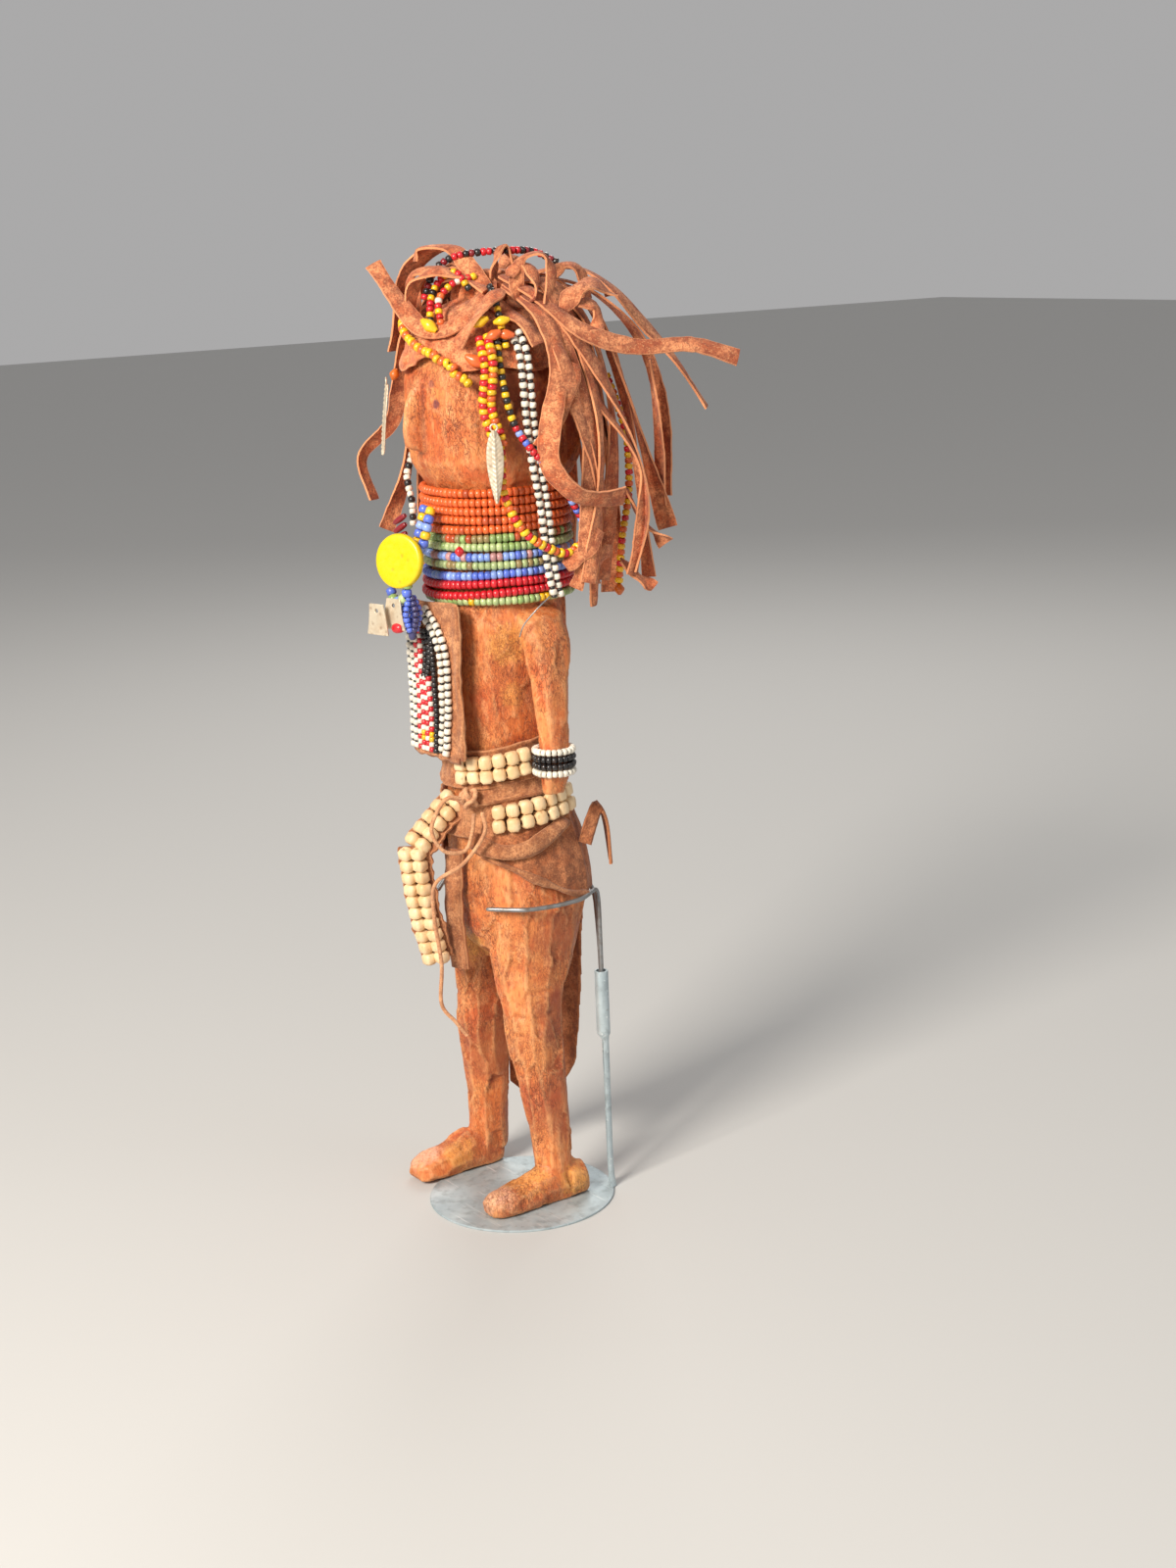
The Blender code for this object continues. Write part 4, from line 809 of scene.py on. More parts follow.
def guide_mesh(name, lines):
    """Lines as one mesh of edges. Each is (points, {attribute: value or list of values})."""
    points, edges, values = [], [], {}
    for line, extras in lines:
        first = len(points)
        points += line
        edges += [(first + i, first + i + 1) for i in range(len(line) - 1)]
        for key, value in extras.items():
            listed = value if isinstance(value, list) else [value] * len(line)
            values.setdefault(key, []).extend(listed)
    mesh = bpy.data.meshes.new(name)
    mesh.from_pydata([tuple(p) for p in points], edges, [])
    for key, listed in values.items():
        if isinstance(listed[0], Vector):
            layer = mesh.attributes.new(key, "FLOAT_VECTOR", "POINT")
            layer.data.foreach_set("vector", [c for v in listed for c in v])
        else:
            layer = mesh.attributes.new(key, "FLOAT", "POINT")
            layer.data.foreach_set("value", [float(v) for v in listed])
    return mesh


def paint_beads(mesh, rules, paired=False):
    """Each bead's colour, from its row and its number in the row, or in pairs along them all."""
    size = len(mesh.vertices)
    numbers, rows = np.zeros(size, np.float32), np.zeros(size, np.float32)
    mesh.attributes["bead_number"].data.foreach_get("value", numbers)
    mesh.attributes["row"].data.foreach_get("value", rows)
    numbers, rows = numbers.round().astype(int), rows.round().astype(int)
    colours = np.ones((size, 4), np.float32)
    for row, rule in enumerate(rules):
        inside = rows == row
        if not inside.any():
            continue
        used = numbers[inside]
        first, last = used.min(), used.max()
        picked = random.Random(SEED + row)
        table = []
        for i in range(last - first + 1):
            tone = 0.86 + 0.28 * picked.random()
            step = i + first % 2 if paired else i
            table.append([channel * tone for channel in rule(step, last - first + 1, picked)])
        colours[inside, :3] = np.clip(np.array(table)[used - first], 0.0, 0.95)
    layer = mesh.attributes.new("bead_colour", "FLOAT_COLOR", "POINT")
    layer.data.foreach_set("color", colours.ravel())
    for spare in ("bead_number", "row"):
        mesh.attributes.remove(mesh.attributes[spare])


BEAD_SLACK = 0.05 * MM


def threaded(name, lines, rules, diameter, length, replaced=(), slot=None, finish=None,
             shape=None, tilt=0.1, variation=0.07, thread=0.35, spin=3.1, odd=None):
    """Rows or strings of beads as one piece. rules gives each row's colours.

    odd gives every second bead's width and length as a share of the others.
    """
    guides = [(line, {"row": row}) for row, line in enumerate(lines)]
    mesh = modified(name, guide_mesh(name + "_lines", guides), BEAD_TREE, {
        "Bead Shape": shape or SEED_BEAD, "Bead Diameter": diameter * MM,
        "Bead Length": length * MM, "Size Variation": variation, "Tilt": tilt, "Spin": spin,
        "Spacing": length * MM * (0.5 + odd[1] / 2 if odd else 1.0) + BEAD_SLACK,
        "Odd Width": odd[0] if odd else 1.0, "Odd Length": odd[1] if odd else 1.0,
        "Thread Radius": thread * MM, "Seed": SEED, "Bead Finish": finish or GLASS,
        "Thread Finish": THREAD})
    paint_beads(mesh, rules, bool(odd))
    return show(name, mesh, None, replaced, slot)


def plain(colour):
    return lambda i, count, picked: colour


def either(*choices):
    """Beads picked at random: each choice is (share, colour)."""
    def rule(i, count, picked):
        left = picked.random()
        for share, colour in choices:
            left -= share
            if left <= 0:
                return colour
        return choices[-1][1]
    return rule


def cycle(*colours):
    return lambda i, count, picked: colours[i % len(colours)]


def strip_along(line, away, width, turn=lambda i: 0.0, tone=0.0, rolled=False):
    """A laid strip's guide. away gives the way it faces at a point. width (in mm) and turn are
    functions of the point's number, and a rolled strip's face turns with its sides.
    """
    sides, faces = [], []
    for i, (here, ahead) in enumerate(zip(line, tangents(line))):
        side = ahead.cross(away(here)).normalized()
        face = side.cross(ahead).normalized()
        level, lean = math.cos(turn(i)), math.sin(turn(i))
        sides.append((side * level + face * lean) * width(i) * MM)
        faces.append(face * level - side * lean if rolled else face)
    return line, {"side": sides, "face": faces, "tone": tone}


def cut_strips(name, guides, leather, thickness, cupping, wander, wander_scale, across,
               replaced=(), sharp=False):
    """Laid strips of leather as one piece. Sizes are in mm."""
    mesh = modified(name, guide_mesh(name + "_lines", guides), STRIP_TREE, {
        "Thickness": thickness * MM, "Cupping": cupping * MM, "Edge Wander": wander * MM,
        "Wander Scale": wander_scale, "Points Across": across, "Leather": leather})
    if sharp:
        mesh.set_sharp_from_angle(angle=LEATHER_RIDGE)
    return show(name, mesh, None, replaced, "ochre_leather")


# The carved figure

def welded(node):
    """A CAD node's mesh with its loose triangles joined."""
    return joined(node + "_welded", [NODES[node].data], 0.001 * MM)


BODY = tree_of([welded("doll_figure")])


def ramp(value, low, high):
    t = np.clip((value - low) / (high - low), 0.0, 1.0)
    return t * t * (3 - 2 * t)


def read_points(mesh, field="co"):
    found = np.zeros(len(mesh.vertices) * 3)
    mesh.vertices.foreach_get(field, found)
    return found.reshape(-1, 3)


def write_points(mesh, points):
    mesh.vertices.foreach_set("co", points.ravel())
    mesh.update()


def read_edges(mesh):
    found = np.zeros(len(mesh.edges) * 2, int)
    mesh.edges.foreach_get("vertices", found)
    return found.reshape(-1, 2)


def smoothed(points, edges, weight, times):
    """Evens out the surface, more where the weight is high, without shrinking it."""
    count = np.zeros(len(points))
    np.add.at(count, edges[:, 0], 1)
    np.add.at(count, edges[:, 1], 1)
    for turn in range(times * 2):
        total = np.zeros_like(points)
        for axis in range(3):
            total[:, axis] = (
                np.bincount(edges[:, 0], points[edges[:, 1], axis], len(points))
                + np.bincount(edges[:, 1], points[edges[:, 0], axis], len(points)))
        step = 0.5 if turn % 2 == 0 else -0.52
        points = points + (total / count[:, None] - points) * (step * weight)[:, None]
    return points


def knife_facets(points, normals, chosen, size, stretch, strength, seed):
    """Pulls the surface on to flat cuts, each about a seed point, longer up and down."""
    picked = random.Random(seed)
    order = list(np.nonzero(chosen > 0.01)[0])
    picked.shuffle(order)
    scale = np.array([1.0, 1.0, stretch])
    flat = points * scale
    seeds, cells = [], {}
    for index in order:
        key = tuple((flat[index] // size).astype(int))
        around = [cells.get((key[0] + a, key[1] + b, key[2] + c), ())
                  for a in (-1, 0, 1) for b in (-1, 0, 1) for c in (-1, 0, 1)]
        if all(np.linalg.norm(flat[index] - flat[other]) > size for near in around for other in near):
            seeds.append(index)
            cells.setdefault(key, []).append(index)
    search = KDTree(len(seeds))
    for number, index in enumerate(seeds):
        search.insert(flat[index], number)
    search.balance()
    moved = points.copy()
    for index in order:
        _, number, _ = search.find(flat[index])
        home = seeds[number]
        depth = np.dot(points[home] - points[index], normals[home]) - 0.25 * MM
        depth = max(-1.2 * MM, min(0.5 * MM, depth))
        moved[index] += normals[home] * depth * strength * chosen[index]
    return moved


# Cuts and raised lines on the wood: route in mm, width, depth out of the surface
CUTS = (
    (((16.4, 1.2, 324.2), (16.9, 0.6, 320.5), (17.0, 1.8, 316.0), (17.2, 4.6, 313.2)), 1.0, 1.2),
    (((16.7, 3.6, 322.0), (17.0, 3.2, 318.8), (17.2, 4.8, 315.4)), 0.9, -0.9),
    (((-8.4, -22.0, 334.0), (-8.7, -22.5, 322.0), (-8.8, -22.5, 309.0)), 1.0, -1.3),
    (((-16.4, -22.0, 334.0), (-16.1, -22.5, 322.0), (-16.0, -22.5, 309.0)), 0.8, -0.6),
    (((-4.6, -20.5, 325.0), (-2.8, -20.4, 324.8), (-1.2, -20.0, 324.6)), 1.1, -0.8),
    (((-25.8, -19.6, 323.4), (-24.2, -20.1, 323.1), (-22.6, -20.6, 323.0)), 1.1, -0.8),
    (((-0.2, -11.8, 246.7), (8.7, -5.8, 240.1), (11.5, 3.3, 232.7)), 0.55, -0.9),
    (((7.0, -9.0, 82.0), (10.6, -4.2, 80.9), (13.0, 2.0, 80.0), (13.5, 9.0, 81.0)), 0.9, -1.0),
    (((8.0, -7.5, 74.0), (11.5, -3.0, 73.0), (13.5, 3.0, 73.5)), 0.8, -0.7),
    (((12.0, 0.0, 91.0), (14.5, 5.0, 90.5), (15.0, 10.0, 91.0)), 0.8, -0.7),
    (((-30.0, -9.0, 82.0), (-34.0, -3.0, 81.0), (-36.0, 4.0, 81.0)), 0.9, -0.9),
)


def stroke(points, route, width, depth):
    """How far a cut or a raised line moves each point along its normal."""
    line = np.array([tuple(p) for p in smooth_curve([mm(*p) for p in route], 8)])
    gap = np.min(np.linalg.norm(points[:, None] - line[None], axis=2), axis=1)
    return depth * MM * np.exp(-((gap / (width * MM)) ** 2))


def raise_nose(points):
    """A slender nose: a raised ridge down the middle of the face, fullest at its foot."""
    x, y, z = points.T
    across = np.clip(1 - ((x - AXIS_X) / (2.9 * MM)) ** 2, 0, 1) ** 0.6
    down = ramp(z, 306 * MM, 308.5 * MM) * (1 - ramp(z, 322 * MM, 338 * MM))
    front = ramp(-(y - AXIS_Y), 20 * MM, 27 * MM)
    points = points.copy()
    points[:, 1] -= 3.6 * MM * across * down * front
    return points


# Swellings of the toes and the heel: middle, reach and rise in mm
BULGES = (((13.6, -19.5, 7.5), 9.0, 1.7), ((-42.3, -18.8, 7.5), 9.0, 1.7), ((23, 17, 10), 8.0, 1.2))


def swell(points, middle, reach, rise):
    """How far a rounded swelling moves each point along its normal."""
    gap = np.linalg.norm(points - np.array(mm(*middle)), axis=1) / (reach * MM)
    return rise * MM * np.clip(1 - gap**2, 0, 1) ** 1.5


def build_figure():
    """The figure's carved skin: even planes on head and trunk, knife cuts on limbs and feet."""
    mesh = settle(welded("doll_figure"), kind="REMESH", mode="VOXEL", voxel_size=0.97 * MM)
    size = len(mesh.vertices)
    points, edges = read_points(mesh), read_edges(mesh)
    x, y, z = points.T
    legs = 1 - ramp(z, CROTCH, CROTCH + 12 * MM)
    arms = ramp(np.abs(x - AXIS_X), 25 * MM, 29 * MM) * (1 - ramp(z, 238 * MM, 250 * MM)) * (1 - legs)
    head = ramp(z, FACE_BOTTOM - 4 * MM, FACE_BOTTOM + 4 * MM)
    front = head * ramp(-(y - AXIS_Y), 14 * MM, 24 * MM)
    trunk = (1 - legs) * (1 - arms) * (1 - head)
    weight = 0.35 * legs + 0.5 * arms + 1.0 * trunk + 0.9 * head * (1 - 0.7 * front)
    points = smoothed(points, edges, np.clip(weight, 0, 1), 14)

    def facing(now):
        write_points(mesh, now)
        return read_points(mesh, "normal")

    for chosen, cell, stretch, strength, seed in (
        (legs, 6.2 * MM, 0.3, 1.0, 3),
        (arms, 5.6 * MM, 0.3, 0.95, 5),
        (trunk, 8.5 * MM, 0.4, 0.85, 7),
        (head * (1 - front), 9.0 * MM, 0.6, 0.8, 9),
        (front, 9.0 * MM, 0.6, 0.35, 13),
    ):
        points = knife_facets(points, facing(points), chosen, cell, stretch, strength, seed)
    points = raise_nose(smoothed(points, edges, np.full(size, 0.22), 1))
    normals = facing(points)
    dents = np.array([(0.16 * noise.noise(Vector(p) * 160) + 0.07 * noise.noise(Vector(p) * 520)) * MM
                      for p in points])
    x, y, z = points.T
    hand = (1 - ramp(z, WRIST - 9 * MM, WRIST - 5 * MM)) * arms
    toes = (1 - ramp(z, 8 * MM, 13 * MM)) * ramp(-y, 13 * MM, 17 * MM)
    for part, depth, place, pitch, start in (
        (hand, 0.55, y - 8 * MM, 3.0, 0.45), (toes, 0.6, x, 3.2, 0.5),
    ):
        wave = np.cos(place / (pitch * MM) * math.pi * 2)
        dents -= part * depth * MM * np.clip(wave - start, 0, 1)
    for route, width, depth in CUTS:
        dents += stroke(points, route, width, depth)
    for middle, reach, rise in BULGES:
        dents += swell(points, middle, reach, rise)
    points = points + normals * dents[:, None]
    points[:, 2] = np.maximum(points[:, 2], SOLE - 0.25 * MM)
    write_points(mesh, points)
    mesh.shade_smooth()
    show("carved_figure", mesh, WOOD, ["doll_figure"], "ochre_wood")


# The leather cap and hair

def skin_along(way, height, clear=0.0):
    """The body's surface seen from its axis at a height, or a little clear of it."""
    start = Vector((AXIS_X, 11.5 * MM, height))
    hit, _, _, _ = BODY.ray_cast(start, way.normalized())
    return hit + way.normalized() * clear


def level_way(degrees):
    angle = math.radians(degrees)
    return Vector((math.sin(angle), -math.cos(angle), 0.0))


def build_cap():
    """A leather cap: smooth at the back, crumpled into folds above the forehead."""
    columns, last = 150, 25
    centre = Vector((AXIS_X, AXIS_Y, 333 * MM))
    rows = [[] for _ in range(last + 1)]
    for row, made in enumerate(rows):
        lower = 1.0 - row / last
        for column in range(columns):
            degrees = 360.0 * column / columns
            front = max(0.0, math.cos(math.radians(degrees - 20))) ** 1.5
            low = math.degrees(math.atan2(HAIRLINE - centre.z, 32 * MM))
            low += 3.0 * math.sin(math.radians(degrees * 3 + 40)) - 1.5 + 4.0 * front * math.sin(
                math.radians(degrees * 7))
            lift = math.radians(low + (89.0 - low) * row / last)
            flat = level_way(degrees)
            way = Vector((flat.x * math.cos(lift), flat.y * math.cos(lift), math.sin(lift)))
            hit, normal, _, _ = BODY.ray_cast(centre, way)
            crumple = noise.noise(Vector((flat.x * 3.2, flat.y * 3.2, row * 0.35)))
            sharp = abs(noise.noise(Vector((flat.x * 7, flat.y * 7, row * 0.55 + 9))))
            pleat = abs(math.sin(math.radians(degrees * 9 + 60 * crumple) + row * 0.5))
            out = 1.3 + (1.3 * crumple + 2.4 * sharp) * (0.35 + 0.9 * front) * (0.3 + lower)
            out += 1.7 * pleat * front * lower
            made.append(hit + normal * max(0.7, out) * MM)
    mesh = loft("hair_cap", rows, caps=(last,))
    return subdivided(settle(mesh, kind="SOLIDIFY", thickness=1.1 * MM, offset=0.4), 1)


# The strips that show, each from the tuft to its tip: bearing, reach and height in mm
STRIPS = (
    ((62, 12, 368), (48, 24, 360), (28, 32, 352), (10, 35, 352), (-8, 37, 361), (-24, 44, 376)),
    ((20, 6, 370), (-15, 9, 377), (-35, 17, 381), (-43, 28, 376), (-49, 36, 364), (-54, 40, 342)),
    ((30, 8, 369), (20, 18, 371), (5, 26, 373), (-9, 31, 368), (-12, 33, 358)),
    ((82, 12, 370), (95, 28, 363), (108, 44, 349), (125, 59, 342), (134, 78, 342), (138, 95, 336)),
    ((140, 9, 369), (149, 32, 372), (151, 47, 364), (153, 60, 349), (153, 72, 335), (153, 84, 316)),
    ((150, 12, 370), (158, 38, 364), (156, 58, 345), (154, 66, 318), (152, 67, 282)),
    ((98, 12, 368), (104, 34, 356), (118, 47, 332), (130, 54, 308), (134, 58, 280), (134, 54, 255)),
    ((90, 12, 367), (98, 33, 356), (103, 42, 332), (112, 46, 307), (118, 46, 285)),
    ((86, 13, 366), (93, 33, 356), (92, 43, 336), (84, 45, 316), (82, 46, 301), (94, 48, 289),
     (108, 50, 286), (120, 54, 286)),
    ((128, 12, 369), (136, 36, 361), (142, 50, 330), (146, 59, 298), (147, 66, 270)),
    ((108, 12, 368), (113, 35, 356), (114, 47, 320), (112, 47, 285), (105, 44, 254)),
    ((118, 12, 369), (126, 37, 356), (130, 47, 320), (128, 46, 285), (123, 43, 253)),
    ((142, 12, 370), (158, 38, 360), (160, 52, 325), (160, 58, 285), (158, 60, 249)),
    ((-40, 12, 367), (-46, 33, 353), (-53, 39, 332), (-58, 45, 314), (-52, 57, 301), (-50, 52, 284)),
    ((-62, 12, 367), (-66, 34, 352), (-68, 40, 320), (-62, 42, 294), (-52, 48, 272)),
)
# More strips down the back, which repeat
BACK_STRIPS = 11
# Strips that only the looks need: more of the fall behind the face, and loops on the crown
SIDE_STRIPS = 8
CROWN_LOOPS = (
    ((-31, 28, 376), (-31, 26, 381), (-11, 15, 381), (24, 14, 374), (63, 20, 360), (81, 31, 353),
     (86, 37, 345)),
    ((-19, 29, 356), (-27, 29, 364), (-31, 30, 371), (-25, 23, 373), (17, 15, 370), (56, 20, 365)),
    ((60, 10, 366), (70, 13, 377), (84, 12, 381), (100, 12, 378), (112, 16, 369), (112, 24, 362)),
    ((84, 23, 361), (84, 23, 368), (91, 22, 376), (107, 26, 378), (112, 29, 373), (105, 31, 365),
     (97, 32, 358)),
    ((76, 24, 370), (88, 21, 374), (97, 24, 373), (95, 29, 366), (89, 31, 361)),
    ((127, 26, 369), (133, 29, 373), (138, 34, 372), (142, 37, 366), (145, 38, 359)),
    ((105, 37, 357), (111, 39, 363), (120, 42, 366), (127, 45, 365), (133, 48, 361)),
    ((68, 25, 365), (57, 30, 362), (49, 34, 357), (42, 37, 351), (37, 38, 346)),
    ((112, 40, 359), (121, 44, 358), (119, 46, 351), (112, 44, 348)),
    ((-60, 6, 370), (-70, 14, 376), (-84, 22, 372), (-92, 30, 360)),
    ((200, 6, 370), (205, 16, 377), (212, 26, 371), (214, 36, 352), (214, 42, 330)),
    ((0, 6, 370), (-14, 16, 374), (-28, 26, 368), (-38, 31, 356)),
)
FACE_STRIPS = (
    ((102, 44, 337), (95, 45, 327), (88, 43, 317), (80, 42, 307)),
    ((98, 41, 327), (103, 45, 316), (110, 46, 300), (114, 46, 287), (114, 46, 280)),
    ((110, 41, 337), (117, 46, 322), (125, 52, 310), (131, 57, 298), (133, 58, 287),
     (132, 55, 264), (132, 52, 254)),
    ((94, 39, 346), (95, 44, 337), (102, 44, 319)),
    ((145, 61, 336), (147, 63, 319), (147, 64, 300), (147, 64, 279)),
    ((136, 51, 287), (137, 56, 275), (139, 62, 269), (140, 65, 265)),
    ((111, 47, 274), (105, 44, 267), (95, 39, 261)),
    ((108, 43, 267), (103, 42, 258), (101, 40, 252)),
    ((122, 46, 267), (120, 42, 258), (119, 41, 252)),
    ((133, 48, 260), (137, 55, 252), (139, 60, 248)),
)


def back_strip(number):
    bearing = 168.0 + 118.0 * number / (BACK_STRIPS - 1)
    sway = math.sin(number * 2.4)
    reach = 42.0 + 3.0 * sway
    tip = 268.0 + 20.0 * math.sin(number * 1.7 + 1.0)
    drift = 4.0 * math.sin(number * 3.1)
    return ((bearing, 11, 368.0), (bearing, 24, 369.0 + 2.0 * sway), (bearing, 37, 353.0),
            (bearing + drift / 2, reach, 325.0), (bearing + drift, reach + 3.0, (325.0 + tip) / 2),
            (bearing + drift, reach + 1.0, tip))


def side_strip(number):
    """More strips behind the ear, each with its own sway and length."""
    bearing = 106.0 + 9.6 * number
    sway = math.sin(number * 1.9 + 0.5)
    tip = 262.0 + 20.0 * math.sin(number * 2.3)
    reach = 39.0 + 3.0 * math.cos(number * 1.3)
    return ((bearing, 11, 367), (bearing + 3 * sway, 27, 366 + 1.5 * sway),
            (bearing + 4 * sway, 36, 352), (bearing + 7 * sway, reach, 324),
            (bearing + 2 * sway, reach + 3.5, (324 + tip) / 2), (bearing - 4 * sway, reach + 1, tip))


def strip_guide(points, number, surface, width, clear):
    """A strip's line, with the side and face directions that the strip tree reads."""
    line = smooth_curve([spot(*p) for p in points], 10)
    line = even_line(eased(held_clear(line, surface, clear * MM), 3), 1.6 * MM)
    picked = random.Random(SEED + number * 7)
    twist_end = picked.uniform(-1.3, 1.3)
    wave, phase = picked.uniform(0.25, 0.9), picked.uniform(0, 6)
    total = len(line) - 1

    def away(here):
        middle = Vector((AXIS_X, AXIS_Y, min(here.z, SKULL_MIDDLE)))
        return (here - middle).normalized() + Vector((0, 0, 0.6))

    def turn(i):
        share = i / total
        return twist_end * share**1.6 + wave * math.sin(share * 7 + phase) * share

    def breadth(i):
        share = i / total
        taper = min(1.0, 0.55 + 3.0 * share) * (1.0 - 0.12 * share)
        return width * taper * (1.0 + 0.1 * math.sin(share * 13 + phase))

    return strip_along(line, away, breadth, turn, picked.uniform(0.0, 0.9), True)


def build_strips(surface):
    routes = list(STRIPS) + [back_strip(i) for i in range(BACK_STRIPS)]
    routes += [side_strip(i) for i in range(SIDE_STRIPS)] + list(CROWN_LOOPS) + list(FACE_STRIPS)
    picked = random.Random(SEED)
    guides = []
    for number, points in enumerate(routes):
        width = picked.uniform(6.4, 8.4) if points in STRIPS else picked.uniform(5.0, 7.4)
        clear = 0.9 + 1.5 * picked.random()
        guides.append(strip_guide(points, number, surface, width, clear))
    cut_strips("hair_strips", guides, HAIR_LEATHER, 0.8, 0.45, 0.6, 160.0, 14, sharp=True)


def build_tuft():
    """The knot of gathered leather on the crown."""
    columns, last = 64, 11
    rows = [[] for _ in range(last + 1)]
    for row, made in enumerate(rows):
        t = row / last
        for column in range(columns):
            angle = 2 * math.pi * column / columns
            pleat = 1.0 + 0.10 * math.sin(angle * 11 + 2.0 * t) + 0.05 * math.sin(angle * 23)
            radius = (13.5 - 7.5 * t**1.4) * MM * pleat
            made.append(Vector((AXIS_X + math.sin(angle) * radius, AXIS_Y - math.cos(angle) * radius,
                                CROWN + 11.0 * math.sin(t * math.pi / 2) * MM)))
    show("hair_tuft", loft("hair_tuft", rows, caps=(last, 0)), HAIR_LEATHER, (), "ochre_leather")


def build_hair():
    cap = build_cap()
    show("hair_cap", cap, HAIR_LEATHER, ["hair_leather"], "ochre_leather")
    surface = tree_of([welded("doll_figure"), cap, *[welded(n) for n in NECK_NODES]])
    build_tuft()
    build_strips(surface)
    return surface


# Beads round the neck

NECK_NODES = ("neck_beads_orange", "neck_beads_green", "neck_beads_blue", "neck_beads_moss",
              "neck_beads_cobalt", "neck_beads_red", "neck_beads_lime")
NECK_TOP = 291.2 * MM
ROW_PITCH = 3.45 * MM
NECK_BEAD = 3.45
# Each node's rows: slot, then for each row its colours, droop at the front and swell, in mm
NECK_LOOKS = {
    "neck_beads_orange": ("orange_glass", [
        (either((0.9, ORANGE), (0.1, BURNT)), droop, 0.0) for droop in (0.0, 0.3, 0.0, 0.3, 0.6)]),
    "neck_beads_green": ("green_glass", [
        (either((0.4, OLIVE), (0.35, GREEN), (0.25, BURNT)), 0.4, -0.2),
        (either((0.7, PALE_GREEN), (0.3, GREEN)), 0.3, 0.2)]),
    "neck_beads_blue": ("lilac_glass", [(either((0.5, SKY), (0.34, PINK), (0.16, BLUE)), 0.6, 0.1)]),
    "neck_beads_moss": ("moss_glass", [(either((0.7, PALE_GREEN), (0.3, OLIVE)), 0.5, -0.1)]),
    "neck_beads_cobalt": ("cobalt_glass", [(either((0.55, BLUE), (0.45, SKY)), 1.4, 0.3)]),
    "neck_beads_red": ("red_glass", [(plain(RED), 1.6, 0.5), (plain(RED), 2.4, 0.9)]),
    "neck_beads_lime": ("lime_glass", [
        (either((0.7, PALE_GREEN), (0.2, GREEN), (0.1, YELLOW)), 0.6, -0.1)]),
}


def oval_reach(degrees, half_x, half_y, power=2.2):
    way = level_way(degrees)
    return ((abs(way.x) / half_x) ** power + (abs(way.y) / half_y) ** power) ** (-1 / power)


def build_neck():
    """The rows of beads round the neck, from the chin down."""
    row = 0
    for node in NECK_NODES:
        slot, looks = NECK_LOOKS[node]
        low, high, centre = node_box(node)
        half_x = (high.x - low.x) / 2 - NECK_BEAD / 2 * MM
        half_y = (high.y - low.y) / 2 - NECK_BEAD / 2 * MM
        lines, rules = [], []
        for rule, droop, swell in looks:
            height = NECK_TOP - row * ROW_PITCH
            picked = random.Random(SEED * 3 + row)
            phase, sway = picked.uniform(0, 6.3), picked.uniform(0.1, 0.3)
            line = []
            for i in range(181):
                degrees = 180 + 360 * i / 180
                front = max(0.0, math.cos(math.radians(degrees + 10))) ** 2
                out = (swell * front + 0.12 * math.sin(math.radians(degrees) * 5 + phase)) * MM
                here = centre + level_way(degrees) * (oval_reach(degrees, half_x, half_y) + out)
                here.z = height - droop * front * MM
                here.z += sway * math.sin(math.radians(degrees) * 2 + phase) * MM
                line.append(here)
            lines.append(line)
            rules.append(rule)
            row += 1
        threaded(node + "_row", lines, rules, NECK_BEAD, 2.3, [node], slot, tilt=0.09,
                 variation=0.05)


# Strings of beads on the head: routes as for the strips

def string_line(points, surface, clear):
    line = smooth_curve([spot(*p) for p in points], 12)
    line = held_clear(eased(held_clear(line, surface, clear * MM), 2), surface, clear * MM)
    return even_line(line, 1.0 * MM)


def beside(line, distance):
    """A line moved sideways over the surface that it lies on."""
    middle = Vector((AXIS_X, AXIS_Y, 0.0))
    moved = []
    for here, ahead in zip(line, tangents(line)):
        middle.z = min(here.z, SKULL_MIDDLE)
        side = ahead.cross((here - middle).normalized()).normalized()
        moved.append(here + side * distance * MM)
    return moved


def blue_red_colours(i, count, picked):
    """Yellow and black at the top, then blue and red."""
    share = i / count
    if share < 0.34:
        return YELLOW if i % 2 else BLACK
    if share < 0.4:
        return RED if i % 2 else BLACK
    return (SKY, RED, BLUE, RED)[i % 4] if i % 5 else RED


# Routes of the two doubled strings, and the gap in mm that a string keeps from the surface
YELLOW_RED_ROUTE = ((52, 34, 348), (55, 39, 338), (53, 38, 322), (59, 38, 308), (60, 37, 291),
                    (68, 38, 278), (79, 38, 271), (95, 39, 266), (108, 39, 268))
WHITE_BLACK_ROUTE = ((74, 31, 349), (76, 36, 340), (78, 37, 314), (80, 38, 299), (85, 36, 284),
                     (88, 36, 262), (92, 36, 250))
STRING_GAP = 1.55
